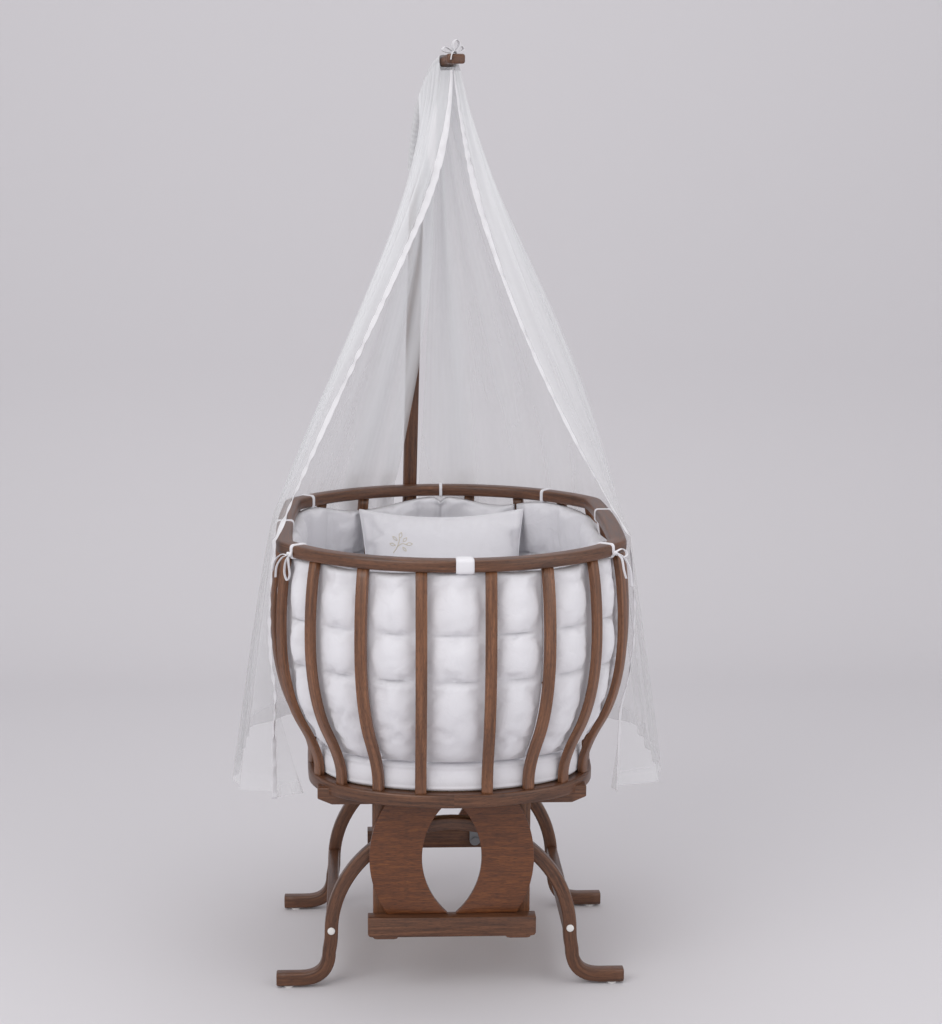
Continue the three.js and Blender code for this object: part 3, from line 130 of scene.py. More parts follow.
# Ties: places on the slat circle. The one on the right side is a narrower band.
TIES = {"front": -0.38, "right_front": 2.6, "right_rear": 9.35, "rear": 11.5,
        "left_rear": 14.6, "left": 17.7, "left_front": 20.35}
THIN_TIE, THIN_TIE_WIDTH = 6.4, 3
TIE_THICKNESS = 1.6


def linear(hex_colour):
    """An sRGB hex colour as linear RGBA."""
    values = [int(hex_colour[i:i + 2], 16) / 255 for i in (1, 3, 5)]
    return tuple(v / 12.92 if v <= 0.04045 else ((v + 0.055) / 1.055) ** 2.4
                 for v in values) + (1.0,)


# Values that a user would change

def length_setting(name, description, default, least, most):
    """A length in metres that the panel shows."""
    return FloatProperty(name=name, description=description, default=default, min=least,
                         max=most, unit="LENGTH")


def colour_setting(name, description, hex_colour):
    """A colour that the panel shows."""
    return FloatVectorProperty(name=name, description=description, subtype="COLOR", size=4,
                               min=0, max=1, default=linear(hex_colour))


class CradleSizes(bpy.types.PropertyGroup):
    """Sizes of the cradle's edges and soft goods"""
    sawn_edge: length_setting(
        "Sawn edge", "Radius along the edges of the bars and panels",
        0.0022, 0.0005, 0.004)
    bumper_thickness: length_setting(
        "Bumper thickness", "Thickness of a bumper's cell at its middle",
        0.034, 0.015, 0.04)
    bumper_seam: length_setting(
        "Bumper seam", "Thickness of a bumper along its seams",
        0.009, 0.003, 0.02)
    pillow_thickness: length_setting(
        "Pillow thickness", "Thickness of the pillow at its middle",
        0.084, 0.03, 0.1)
    filling_swell: length_setting(
        "Filling swell", "How far the filling may push the cotton out",
        0.007, 0.0, 0.016)
    fold_depth: length_setting(
        "Fold depth", "Depth of the canopy's folds halfway to the rim",
        0.011, 0.0, 0.02)
    cloth_width: length_setting(
        "Cloth width", "Width of tulle gathered into one half of the canopy",
        1.5, 1.2, 3.0)
    ribbon_width: length_setting(
        "Ribbon width", "Width of the satin ribbon on the canopy's front edges",
        0.016, 0.006, 0.02)
    strap_width: length_setting(
        "Strap width", "Width of the flat strap at the front of the rim",
        0.034, 0.01, 0.05)
    tie_width: length_setting(
        "Tie width", "Width of the narrow ties round the rim",
        0.007, 0.004, 0.012)


class CradleColours(bpy.types.PropertyGroup):
    """Colours of the cradle's finishes"""
    beech_dark: colour_setting(
        "Beech, dark streaks", "Darkest streaks of the stained beech", "#523422")
    beech: colour_setting(
        "Beech", "Main tone of the stained beech", "#784e33")
    beech_light: colour_setting(
        "Beech, light streaks", "Lightest streaks of the stained beech", "#98694a")
    hoop_dark: colour_setting(
        "Hoop, dark streaks", "Darkest streaks of the rim, ring and lower bars", "#3f2618")
    hoop: colour_setting(
        "Hoop", "Main tone of the rim, ring and lower bars", "#613d27")
    hoop_light: colour_setting(
        "Hoop, light streaks", "Lightest streaks of the rim, ring and lower bars", "#7c5238")
    panel_dark: colour_setting(
        "Panel, dark figure", "Darkest figure of the end panels", "#4d280f")
    panel: colour_setting(
        "Panel", "Main tone of the end panels", "#683919")
    panel_light: colour_setting(
        "Panel, light figure", "Lightest figure of the end panels", "#824d22")
    cotton: colour_setting(
        "Cotton", "Bumpers, mattress, pillow and ties", "#e4e3e7")
    tulle: colour_setting(
        "Tulle", "Net of the canopy", "#e6e7e9")
    satin: colour_setting(
        "Satin", "Ribbon on the canopy's front edges", "#dad9dc")
    sprig: colour_setting(
        "Sprig", "Embroidered sprig on the pillow", "#d3cbbb")
    steel: colour_setting(
        "Steel", "Links, pins and bolts", "#8b8d90")
    abs: colour_setting(
        "ABS", "Bolt caps and glides", "#e2e0dd")
    plywood: colour_setting(
        "Plywood", "Board under the mattress", "#b48f62")
    paper: colour_setting(
        "Backdrop", "Paper that the cradle stands on and in front of", "#d4d2d5")


def sizes():
    return bpy.context.scene.cradle_sizes


def millimetres(length):
    return length / MM


# Places

def at(x, y, z):
    """A point of the cradle in millimetres as a place in the scene."""
    return Vector((x * MM, (y + CENTRE_SHIFT) * MM, z * MM))


def spaced(start, end, count):
    """Evenly spaced numbers, both ends included."""
    return [start + (end - start) * i / (count - 1) for i in range(count)]


def quadratic(a, b, c, t):
    return (1 - t) ** 2 * a + 2 * t * (1 - t) * b + t * t * c


def cubic(a, b, c, d, t):
    return (1 - t) ** 3 * a + 3 * t * (1 - t) ** 2 * b + 3 * t * t * (1 - t) * c + t ** 3 * d


def fbm(x, y, z, octaves=3):
    """Smooth noise, about -1 to 1, the same each run."""
    total, size = 0.0, 1.0
    for _ in range(octaves):
        total += size * noise.noise(Vector((x, y, z)))
        x, y, z, size = 2.1 * x + 3.7, 2.1 * y + 1.3, 2.1 * z + 5.1, 0.5 * size
    return total


# Meshes

def mesh_object(name, points, faces, uvs=None):
    """A smooth mesh object from points in metres. uvs holds one pair for each point."""
    mesh = bpy.data.meshes.new(name)
    mesh.from_pydata([tuple(p) for p in points], [], faces)
    if uvs is not None:
        add_uv_layer(mesh, "grain", uvs)
    mesh.validate()
    mesh.update()
    shade_smooth(mesh)
    obj = bpy.data.objects.new(name, mesh)
    bpy.context.scene.collection.objects.link(obj)
    return obj


def shade_smooth(mesh):
    mesh.polygons.foreach_set("use_smooth", [True] * len(mesh.polygons))


def add_uv_layer(mesh, name, pairs):
    """A UV layer with one pair for each point."""
    layer = mesh.uv_layers.new(name=name)
    for loop in mesh.loops:
        layer.data[loop.index].uv = pairs[loop.vertex_index]


def tidy(obj, sharp=None, merge=True):
    """Turns the faces outwards, after merging points within a thousandth of a millimetre.
    sharp is the angle in degrees from which an edge stays sharp."""
    bm = bmesh.new()
    bm.from_mesh(obj.data)
    if merge:
        bmesh.ops.remove_doubles(bm, verts=bm.verts, dist=1e-6)
    bmesh.ops.recalc_face_normals(bm, faces=bm.faces)
    bm.to_mesh(obj.data)
    bm.free()
    if sharp is not None:
        obj.data.set_sharp_from_angle(angle=math.radians(sharp))
    return obj


def apply_modifiers(obj):
    """Turns the object's modifiers into mesh."""
    graph = bpy.context.evaluated_depsgraph_get()
    mesh = bpy.data.meshes.new_from_object(obj.evaluated_get(graph))
    old = obj.data
    obj.modifiers.clear()
    obj.data = mesh
    bpy.data.meshes.remove(old)


def merged(name, objects):
    """One object from several."""
    bm = bmesh.new()
    for obj in objects:
        bm.from_mesh(obj.data)
    mesh = bpy.data.meshes.new(name)
    bm.to_mesh(mesh)
    bm.free()
    for obj in objects:
        bpy.data.objects.remove(obj)
    shade_smooth(mesh)
    whole = bpy.data.objects.new(name, mesh)
    bpy.context.scene.collection.objects.link(whole)
    return whole


def rounded_rectangle(width, height, radius, steps=3):
    """Points round a rectangle centred on the origin, with round corners."""
    points = []
    w, h = width / 2 - radius, height / 2 - radius
    for cx, cy, start in ((w, h, 0), (-w, h, 90), (-w, -h, 180), (w, -h, 270)):
        for i in range(steps + 1):
            angle = math.radians(start + 90 * i / steps)
            points.append((cx + radius * math.cos(angle), cy + radius * math.sin(angle)))
    return points


def sweep(name, rings, closed=False, start=0.0):
    """A skin through rings of points in metres. Its UVs run along it and round it, in metres,
    and begin at start."""
    count = len(rings[0])
    along = start
    points, uvs, faces = [], [], []
    rows = list(rings) + ([rings[0]] if closed else [])
    previous = None
    for ring in rows:
        middle = sum(ring, Vector()) / count
        if previous is not None:
            along += (middle - previous).length
        previous = middle
        around = 0.0
        for j in range(count + 1):
            if j:
                around += (ring[j % count] - ring[j - 1]).length
            points.append(ring[j % count])
            uvs.append((along, around))
    stride = count + 1
    for i in range(len(rows) - 1):
        for j in range(count):
            a = i * stride + j
            faces.append((a, a + 1, a + stride + 1, a + stride))
    if not closed:
        last = (len(rows) - 1) * stride
        faces.append(tuple(reversed(range(count))))
        faces.append(tuple(last + j for j in range(count)))
    return tidy(mesh_object(name, points, faces, uvs))


def plate(name, outline, y0, y1, grain="z", radius=None):
    """An outline in X and Z between two places in Y, with its edges rounded and the grain
    along one axis."""
    low, high = min(y0, y1), max(y0, y1)
    count = len(outline)
    points = [at(x, y, z) for y in (low, high) for x, z in outline]
    faces = [tuple(range(count)), tuple(reversed(range(count, 2 * count)))]
    for j in range(count):
        k = (j + 1) % count
        faces.append((j, j + count, k + count, k))
    obj = tidy(mesh_object(name, points, faces))
    bevel = obj.modifiers.new("edges", "BEVEL")
    bevel.width = radius * MM if radius else sizes().sawn_edge
    bevel.segments = 3
    bevel.limit_method = "ANGLE"
    bevel.angle_limit = math.radians(40)
    apply_modifiers(obj)
    layer = obj.data.uv_layers.new(name="grain")
    for loop in obj.data.loops:
        p = obj.data.vertices[loop.vertex_index].co
        pair = {"z": (p.z, p.x + p.y), "x": (p.x, p.z + p.y), "y": (p.y, p.x + p.z)}
        layer.data[loop.index].uv = pair[grain]
    shade_smooth(obj.data)
    obj.data.set_sharp_from_angle(angle=math.radians(50))
    return obj


def turned(name, profile, x, z, steps=32):
    """A turned piece whose axis runs along Y, from pairs of radius and Y."""
    points, faces = [], []
    for radius, y in profile:
        for i in range(steps):
            angle = 2 * math.pi * i / steps
            points.append(at(x + radius * math.cos(angle), y, z + radius * math.sin(angle)))
    for i in range(len(profile) - 1):
        for j in range(steps):
            k = (j + 1) % steps
            faces.append((i * steps + j, i * steps + k,
                          (i + 1) * steps + k, (i + 1) * steps + j))
    return tidy(mesh_object(name, points, faces), sharp=40)


def tube(name, path, radius, steps=8, closed=False):
    """A cord of even thickness along points in metres."""
    rings = []
    count = len(path)
    up = None
    for i, point in enumerate(path):
        if closed:
            tangent = (path[(i + 1) % count] - path[i - 1]).normalized()
        else:
            tangent = (path[min(count - 1, i + 1)] - path[max(0, i - 1)]).normalized()
        if up is None:
            up = tangent.orthogonal().normalized()
        up = (up - tangent * up.dot(tangent)).normalized()
        other = tangent.cross(up)
        rings.append([point + radius * MM * (math.cos(a) * up + math.sin(a) * other)
                      for a in (2 * math.pi * k / steps for k in range(steps))])
    return sweep(name, rings, closed=closed)


def smooth_path(spots, steps=8):
    """Points along a smooth curve through the spots."""
    dense = []
    last = len(spots) - 2
    for i in range(last + 1):
        p0, p1, p2, p3 = spots[max(0, i - 1)], spots[i], spots[i + 1], spots[min(last + 1, i + 2)]
        for t in spaced(0, 1, steps)[: steps if i == last else steps - 1]:
            dense.append(0.5 * (2 * p1 + (p2 - p0) * t + (2 * p0 - 5 * p1 + 4 * p2 - p3) * t * t
                                + (3 * p1 - p0 - 3 * p2 + p3) * t ** 3))
    return dense


def ribbon(name, stations, thickness):
    """A ribbon along stations, each a middle point, the directions of its width and of its
    face, and its width, in millimetres."""
    rings = []
    for point, across, face, width in stations:
        section = rounded_rectangle(width, thickness, thickness * 0.45, 2)
        rings.append([at(*(point + across * a + face * b)) for a, b in section])
    return sweep(name, rings)


# Oval hoops

class Hoop:
    """An oval of arcs: a bow at each end, a nearly straight side, and corners between.
    Distances run round the outer edge from the middle of the front bow to the right.
    Seats are the slats' distances, measured from the middles of the bow and the side."""

    def __init__(self, half_width, half_length, bow, side, corner, first, bow_pitch, side_pitch):
        self.radii = (bow, corner, side)
        centre_bow = Vector((0, bow - half_length))
        centre_side = Vector((half_width - side, 0))
        apart = (centre_side - centre_bow).length
        axis = (centre_side - centre_bow) / apart
        near, far = bow - corner, side - corner
        along = (near ** 2 - far ** 2 + apart ** 2) / (2 * apart)
        across = math.sqrt(near ** 2 - along ** 2)
        options = [centre_bow + along * axis + s * across * Vector((-axis.y, axis.x))
                   for s in (1, -1)]
        centre_corner = next(c for c in options if c.x > 0 and c.y < 0)
        self.centres = (centre_bow, centre_corner, centre_side)
        out_bow = centre_corner - centre_bow
        out_side = centre_corner - centre_side
        self.bow_end = math.atan2(out_bow.y, out_bow.x)
        self.side_start = math.atan2(out_side.y, out_side.x)
        self.bow_length = bow * (self.bow_end + math.pi / 2)
        self.corner_length = corner * (self.side_start - self.bow_end)
        self.side_length = -side * self.side_start
        self.quarter = self.bow_length + self.corner_length + self.side_length
        self.length = 4 * self.quarter
        quarter = [first + i * bow_pitch for i in range(3)]
        quarter += [self.quarter - (i + 0.5) * side_pitch for i in (2, 1, 0)]
        half = quarter + [2 * self.quarter - d for d in reversed(quarter)]
        self.seats = half + [d + 2 * self.quarter for d in half]

    def at(self, distance, inset=0.0):
        """The place on the hoop, moved in by the inset, and the direction outwards."""
        around = distance % self.length
        turn = min(3, int(around // self.quarter))
        rest = around - turn * self.quarter
        if turn % 2:
            rest = self.quarter - rest
        if rest > self.bow_length + self.corner_length:
            kind, angle = 2, -(self.quarter - rest) / self.radii[2]
        elif rest > self.bow_length:
            kind, angle = 1, self.bow_end + (rest - self.bow_length) / self.radii[1]
        else:
            kind, angle = 0, -math.pi / 2 + rest / self.radii[0]
        out = Vector((math.cos(angle), math.sin(angle)))
        place = self.centres[kind] + out * (self.radii[kind] - inset)
        flip_x, flip_y = -1 if turn > 1 else 1, -1 if turn in (1, 2) else 1
        return (Vector((place.x * flip_x, place.y * flip_y)),
                Vector((out.x * flip_x, out.y * flip_y)))

    def distance(self, place):
        """Distance round the hoop at a place on the slat circle."""
        lap = math.floor(place / SLAT_COUNT)
        within = place - lap * SLAT_COUNT
        seats = self.seats + [self.seats[0] + self.length]
        return lap * self.length + float(np.interp(within, range(SLAT_COUNT + 1), seats))


RING = Hoop(half_width=289, half_length=378, bow=371, side=2860, corner=190,
            first=65, bow_pitch=88.5, side_pitch=94)
RIM = Hoop(half_width=348, half_length=452, bow=385, side=4000, corner=80,
           first=66, bow_pitch=117.5, side_pitch=109)


# Wall of the basket: its share of the way from ring to rim, and its height, up from the
# kink to the bulge and then in again to the rim.

def lower_sweep(t):
    rise, share = BULGE - KINK, BULGE_SHARE
    return (cubic(0, 0.51 * share, share, share, t),
            cubic(KINK, KINK + 0.13 * rise, KINK + 0.49 * rise, BULGE, t))


def upper_sweep(t):
    share = BULGE_SHARE
    return (quadratic(share, share, 1, t),
            quadratic(BULGE, BULGE + 0.6 * (RIM_LOW - BULGE), RIM_LOW, t))


WALL_SHARES, WALL_HEIGHTS = zip(*([lower_sweep(t) for t in spaced(0, 1, 80)]
                                  + [upper_sweep(t) for t in spaced(0, 1, 80)[1:]]))


def wall_share(height):
    return 0.0 if height <= KINK else float(np.interp(height, WALL_HEIGHTS, WALL_SHARES))


def wall_point(place, height, inset=0.0):
    """A point of the wall in millimetres, at a place on the slat circle and a height."""
    low, low_out = RING.at(RING.distance(place), SLAT_INSET)
    high, high_out = RIM.at(RIM.distance(place), SLAT_INSET)
    share = wall_share(height)
    point = low.lerp(high, share)
    out = low_out.lerp(high_out, min(1.0, max(0.0, share))).normalized()
    return Vector((point.x - inset * out.x, point.y - inset * out.y, height))


def slat_depth(place, height):
    """Depth that a slat takes up at a height, measured level."""
    step = 2
    low, high = wall_point(place, height - step), wall_point(place, height + step)
    slope = math.hypot(high.x - low.x, high.y - low.y) / (2 * step)
    foot, foot_out = RING.at(RING.distance(place), SLAT_INSET)
    top, top_out = RIM.at(RIM.distance(place), SLAT_INSET)
    face, normal = (top - foot).normalized(), (foot_out + top_out).normalized()
    askew = abs(face.x * normal.y - face.y * normal.x)
    return SLAT_THICKNESS * math.hypot(1, slope) + 0.6 * SLAT_WIDTH * askew


def hoop_object(name, hoop, low, height, width, radius, count=160):
    """A steam-bent hoop with rounded edges."""
    section = rounded_rectangle(width, height, radius)
    rings = []
    for i in range(count):
        distance = hoop.length * i / count
        ring = []
        for a, b in section:
            place, _ = hoop.at(distance, width / 2 - a)
            ring.append(at(place.x, place.y, low + height / 2 + b))
        rings.append(ring)
    return sweep(name, rings, closed=True)


def slat_path(run):
    """Points of a slat's outer face: distance outwards and height. The kink is a soft bend."""
    path = [(0.0, RING_LOW + RING_HEIGHT - SLAT_FOOT), (0.0, STRAIGHT)]
    share, height = lower_sweep(BEND_SHARE)
    before, after = lower_sweep(BEND_SHARE - 0.01), lower_sweep(BEND_SHARE + 0.01)
    control = height - share * (after[1] - before[1]) / (after[0] - before[0])
    path += [(quadratic(0.0, 0.0, share * run, t), quadratic(BEND_LOW, control, height, t))
             for t in spaced(0, 1, 11)]
    wall = [lower_sweep(t) for t in spaced(BEND_SHARE, 1, 13)[1:]]
    wall += [upper_sweep(t) for t in spaced(0, 1, 9)[1:]]
    path += [(share * run, height) for share, height in wall]
    path[-1] = (path[-1][0], RIM_LOW - SEAT)
    return path


def slat_object(index):
    """One steam-bent slat that follows the wall, its ends in the ring and under the rim."""
    foot, _ = RING.at(RING.seats[index], SLAT_INSET)
    top, _ = RIM.at(RIM.seats[index], SLAT_INSET)
    run = (top - foot).length
    out = (top - foot) / run
    across = Vector((-out.y, out.x))
    path = slat_path(run)
    section = rounded_rectangle(SLAT_WIDTH, SLAT_THICKNESS, SLAT_EDGE)
    rings = []
    for i, (x, z) in enumerate(path):
        before, after = path[max(0, i - 1)], path[min(len(path) - 1, i + 1)]
        tangent = Vector((after[0] - before[0], after[1] - before[1])).normalized()
        if i == len(path) - 1:
            tangent = Vector((0, 1))
        ring = []
        for a, b in section:
            deep = SLAT_THICKNESS / 2 - b
            reach, height = x - deep * tangent.y, z + deep * tangent.x
            spot = foot + reach * out + a * across
            ring.append(at(spot.x, spot.y, height))
        rings.append(ring)
    # Each slat shows another stretch of the grain
    return sweep(f"slat_{index}", rings, start=0.37 * index)


# Mast

# Level directions of the mast's bend and square to it
TOWARDS = Vector((math.sin(math.radians(MAST_TURN)), -math.cos(math.radians(MAST_TURN)), 0))
ACROSS = Vector((math.cos(math.radians(MAST_TURN)), math.sin(math.radians(MAST_TURN)), 0))
UP = Vector((0, 0, 1))


def mast_place(reach, height):
    """A point of the mast's centre line, by its distance from the foot and its height."""
    point = Vector((MAST_X, MAST_FOOT_Y, height))
    return point + TOWARDS * (reach - MAST_THICKNESS / 2)


def mast_bend(degrees):
    """The mast's centre line where its tangent stands at an angle from upright."""
    lean, angle = math.radians(MAST_LEAN), math.radians(degrees)
    start = MAST_TOP - MAST_BEND * (1 - math.sin(lean))
    reach = (start - BULGE) * math.tan(lean) + MAST_BEND * (math.cos(lean) - math.cos(angle))
    return mast_place(reach, start + MAST_BEND * (math.sin(angle) - math.sin(lean)))


def mast_ring(centre, degrees, section):
    """Section points round the mast, with X across it and Y towards the inside of the bend."""
    angle = math.radians(degrees)
    inward = TOWARDS * math.cos(angle) + Vector((0, 0, -math.sin(angle)))
    points = [centre + ACROSS * a + inward * b for a, b in section]
    return [at(p.x, p.y, p.z) for p in points]


# Nodes of materials

def add_node(tree, kind, links=None, stops=(), **settings):
    """Adds a node, sets its properties or input values and a colour ramp's stops, pairs of
    position and linear colour, and links inputs to sockets."""
    node = tree.nodes.new(kind)
    for key, value in settings.items():
        if hasattr(node, key):
            setattr(node, key, value)
        else:
            node.inputs[key.replace("_", " ")].default_value = value
    if stops:
        elements = node.color_ramp.elements
        while len(elements) < len(stops):
            elements.new(0.5)
        for element, (position, colour) in zip(elements, stops):
            element.position = position
            element.color = colour
    for key, socket in (links or {}).items():
        tree.links.new(socket, node.inputs[key])
    return node


def new_material(name):
    """An empty material with its shader and output."""
    material = bpy.data.materials.new(name)
    material.use_nodes = True
    tree = material.node_tree
    tree.nodes.clear()
    shader = add_node(tree, "ShaderNodeBsdfPrincipled")
    add_node(tree, "ShaderNodeOutputMaterial", {"Surface": shader.outputs[0]})
    return material, tree, shader


def stained_beech(name, dark, middle, light, streak, swirl=0.35):
    """Steam-bent beech, stained walnut and lacquered to a satin: long soft streaks, short
    darker pores along the grain, and a thin clear coat that catches a soft highlight.
    Streaks are 6 mm wide and as long as given, in millimetres."""
    material, tree, shader = new_material(name)
    grain = add_node(tree, "ShaderNodeUVMap", uv_map="grain").outputs["UV"]
    stretched = add_node(tree, "ShaderNodeMapping", {"Vector": grain},
                         Scale=(1000 / streak, 1000 / 6, 1))
    streaks = add_node(tree, "ShaderNodeTexNoise", {"Vector": stretched.outputs[0]},
                       Scale=1.0, Detail=4.0, Roughness=0.6, Distortion=swirl)
    # Pores are under 0.2 mm wide, drawn 1 mm wide and 12 mm long so that they show
    fine = add_node(tree, "ShaderNodeMapping", {"Vector": grain}, Scale=(1000 / 12, 1000, 1))
    pores = add_node(tree, "ShaderNodeTexNoise", {"Vector": fine.outputs[0]},
                     Scale=1.0, Detail=2.0, Roughness=0.5)
    tone = add_node(tree, "ShaderNodeValToRGB", {"Fac": streaks.outputs["Fac"]},
                    stops=[(0.28, dark), (0.52, middle), (0.76, light)])
    fleck = add_node(tree, "ShaderNodeValToRGB", {"Fac": pores.outputs["Fac"]},
                     stops=[(0.3, linear("#8f8f8f")), (0.52, linear("#ffffff"))])
    mixed = add_node(tree, "ShaderNodeMix", {"A": tone.outputs["Color"],
                     "B": fleck.outputs["Color"]}, data_type="RGBA", blend_type="MULTIPLY",
                     Factor=0.75)
    tree.links.new(mixed.outputs["Result"], shader.inputs["Base Color"])
    rough = add_node(tree, "ShaderNodeMapRange", {"Value": streaks.outputs["Fac"]},
                     To_Min=0.34, To_Max=0.5)
    tree.links.new(rough.outputs[0], shader.inputs["Roughness"])
    bump = add_node(tree, "ShaderNodeBump", {"Height": pores.outputs["Fac"]}, Strength=0.12,
                    Distance=0.0004)
    tree.links.new(bump.outputs[0], shader.inputs["Normal"])
    shader.inputs["Coat Weight"].default_value = 0.15
    shader.inputs["Coat Roughness"].default_value = 0.25
    return material


def woven_cotton(name, colour, wrinkle):
    """Plain-woven cotton over wadding: matt and soft, with a fine weave and small creases."""
    material, tree, shader = new_material(name)
    where = add_node(tree, "ShaderNodeTexCoord").outputs["Object"]
    # Creases about 30 mm apart
    creases = add_node(tree, "ShaderNodeTexNoise", {"Vector": where}, Scale=33.0, Detail=4.0,
                       Roughness=0.55, Distortion=0.9)
    # Threads 0.4 mm apart are drawn 1.4 mm apart so that they show
    weave = add_node(tree, "ShaderNodeTexVoronoi", {"Vector": where}, Scale=700.0)
    shaded = tuple(0.94 * v for v in colour[:3]) + (1.0,)
    tone = add_node(tree, "ShaderNodeMix", {"Factor": creases.outputs["Fac"]},
                    data_type="RGBA", A=colour, B=shaded)
    tree.links.new(tone.outputs["Result"], shader.inputs["Base Color"])
    soft = add_node(tree, "ShaderNodeBump", {"Height": creases.outputs["Fac"]},
                    Strength=wrinkle, Distance=0.006)
    fine = add_node(tree, "ShaderNodeBump", {"Height": weave.outputs["Distance"],
                    "Normal": soft.outputs[0]}, Strength=0.1, Distance=0.0006)
    tree.links.new(fine.outputs[0], shader.inputs["Normal"])
    shader.inputs["Roughness"].default_value = 0.92
    shader.inputs["Sheen Weight"].default_value = 0.2
    shader.inputs["Sheen Roughness"].default_value = 0.5
    return material


def bobbin_tulle(name, colour, cover):
    """Bobbin tulle: a sheer net, seen through almost as if it weren't there where it lies in
    one layer, and milky where it is gathered. cover is how much one flat layer hides. The
    density layer of the mesh says how many layers' worth of thread lies at each place."""
    material, tree, shader = new_material(name)
    layers = add_node(tree, "ShaderNodeUVMap", uv_map="density").outputs["UV"]
    density = add_node(tree, "ShaderNodeSeparateXYZ", {"Vector": layers}).outputs["X"]
    uv = add_node(tree, "ShaderNodeUVMap", uv_map="grain").outputs["UV"]
    # Cells of 1.5 mm are far below a pixel, so the net is drawn as an even veil with soft
    # streaks 70 mm wide where the threads bunch up along the folds
    stretched = add_node(tree, "ShaderNodeMapping", {"Vector": uv}, Scale=(1.2, 14, 1))
    streaks = add_node(tree, "ShaderNodeTexNoise", {"Vector": stretched.outputs[0]},
                       Scale=1.0, Detail=2.0)
    uneven = add_node(tree, "ShaderNodeMapRange", {"Value": streaks.outputs["Fac"]},
                      From_Min=0.3, From_Max=0.7, To_Min=0.65, To_Max=1.4)
    thick = add_node(tree, "ShaderNodeMath", operation="MULTIPLY")
    tree.links.new(density, thick.inputs[0])
    tree.links.new(uneven.outputs[0], thick.inputs[1])
    seen = add_node(tree, "ShaderNodeMath", operation="POWER")
    seen.inputs[0].default_value = 1 - cover
    tree.links.new(thick.outputs[0], seen.inputs[1])
    hidden = add_node(tree, "ShaderNodeMath", operation="SUBTRACT")
    hidden.inputs[0].default_value = 1.0
    tree.links.new(seen.outputs[0], hidden.inputs[1])
    tree.links.new(hidden.outputs[0], shader.inputs["Alpha"])
    shader.inputs["Base Color"].default_value = colour
    shader.inputs["Roughness"].default_value = 0.85
    shader.inputs["Sheen Weight"].default_value = 0.2
    return material


def satin(name, colour):
    """Polyester satin ribbon: smooth and shiny along its length."""
    material, tree, shader = new_material(name)
    where = add_node(tree, "ShaderNodeTexCoord").outputs["Object"]
    # Ripples about 18 mm apart
    ripple = add_node(tree, "ShaderNodeTexNoise", {"Vector": where}, Scale=55.0, Detail=2.0)
    bump = add_node(tree, "ShaderNodeBump", {"Height": ripple.outputs["Fac"]}, Strength=0.35,
                    Distance=0.004)
    tree.links.new(bump.outputs[0], shader.inputs["Normal"])
    shader.inputs["Base Color"].default_value = colour
    shader.inputs["Roughness"].default_value = 0.3
    shader.inputs["Sheen Weight"].default_value = 0.4
    return material


def plain_surface(name, colour, roughness, metallic, unevenness, depth):
    """A moulded, plated, sawn or coated surface with a faint unevenness, whose size and depth
    are given in millimetres: it breaks up the reflections a little."""
    material, tree, shader = new_material(name)
    where = add_node(tree, "ShaderNodeTexCoord").outputs["Object"]
    uneven = add_node(tree, "ShaderNodeTexNoise", {"Vector": where}, Scale=1000 / unevenness,
                      Detail=3.0)
    rough = add_node(tree, "ShaderNodeMapRange", {"Value": uneven.outputs["Fac"]},
                     To_Min=roughness - 0.07, To_Max=min(1.0, roughness + 0.07))
    bump = add_node(tree, "ShaderNodeBump", {"Height": uneven.outputs["Fac"]}, Strength=0.3,
                    Distance=depth * MM)
    tree.links.new(rough.outputs[0], shader.inputs["Roughness"])
    tree.links.new(bump.outputs[0], shader.inputs["Normal"])
    shader.inputs["Base Color"].default_value = colour
    shader.inputs["Metallic"].default_value = metallic
    return material


# Each finish by its name. Beech gives the eye warm streaked wood, cotton a soft matt white,
# tulle a veil, satin bright glints, zinc a dull metal, ABS a clean gloss, birch a pale board.
FINISHES = {
    "stained beech": lambda name, c: stained_beech(
        name, c.beech_dark, c.beech, c.beech_light, 150),
    "stained beech hoop": lambda name, c: stained_beech(
        name, c.hoop_dark, c.hoop, c.hoop_light, 110),
    "stained beech plywood": lambda name, c: stained_beech(
        name, c.panel_dark, c.panel, c.panel_light, 60, 1.4),
    "quilted cotton": lambda name, c: woven_cotton(name, c.cotton, 0.35),
    "cotton sheeting": lambda name, c: woven_cotton(name, c.cotton, 0.2),
    "bobbin tulle": lambda name, c: bobbin_tulle(name, c.tulle, 0.16),
    "polyester satin": lambda name, c: satin(name, c.satin),
    "embroidery cotton": lambda name, c: satin(name, c.sprig),
    "zinc-plated steel": lambda name, c: plain_surface(name, c.steel, 0.4, 1.0, 11, 0.2),
    "moulded ABS": lambda name, c: plain_surface(name, c.abs, 0.35, 0.0, 11, 0.1),
    "birch plywood": lambda name, c: plain_surface(name, c.plywood, 0.7, 0.0, 70, 0.2),
    "coated paper": lambda name, c: plain_surface(name, c.paper, 0.93, 0.0, 400, 0.1),
}


def finish(name):
    """A finish by its name, made when it is first asked for."""
    made = bpy.data.materials.get(name)
    return made or FINISHES[name](name, bpy.context.scene.cradle_colours)


def add_piece(obj, body, slot, finish_name, *nodes):
    """Gives a new piece its finish, lets it move with a body and stand for its CAD nodes, if it has
    any. slot is not used."""
    obj.data.materials.clear()
    obj.data.materials.append(finish(finish_name))
    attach(obj, body)
    if nodes:
        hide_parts(*nodes)


# Stand

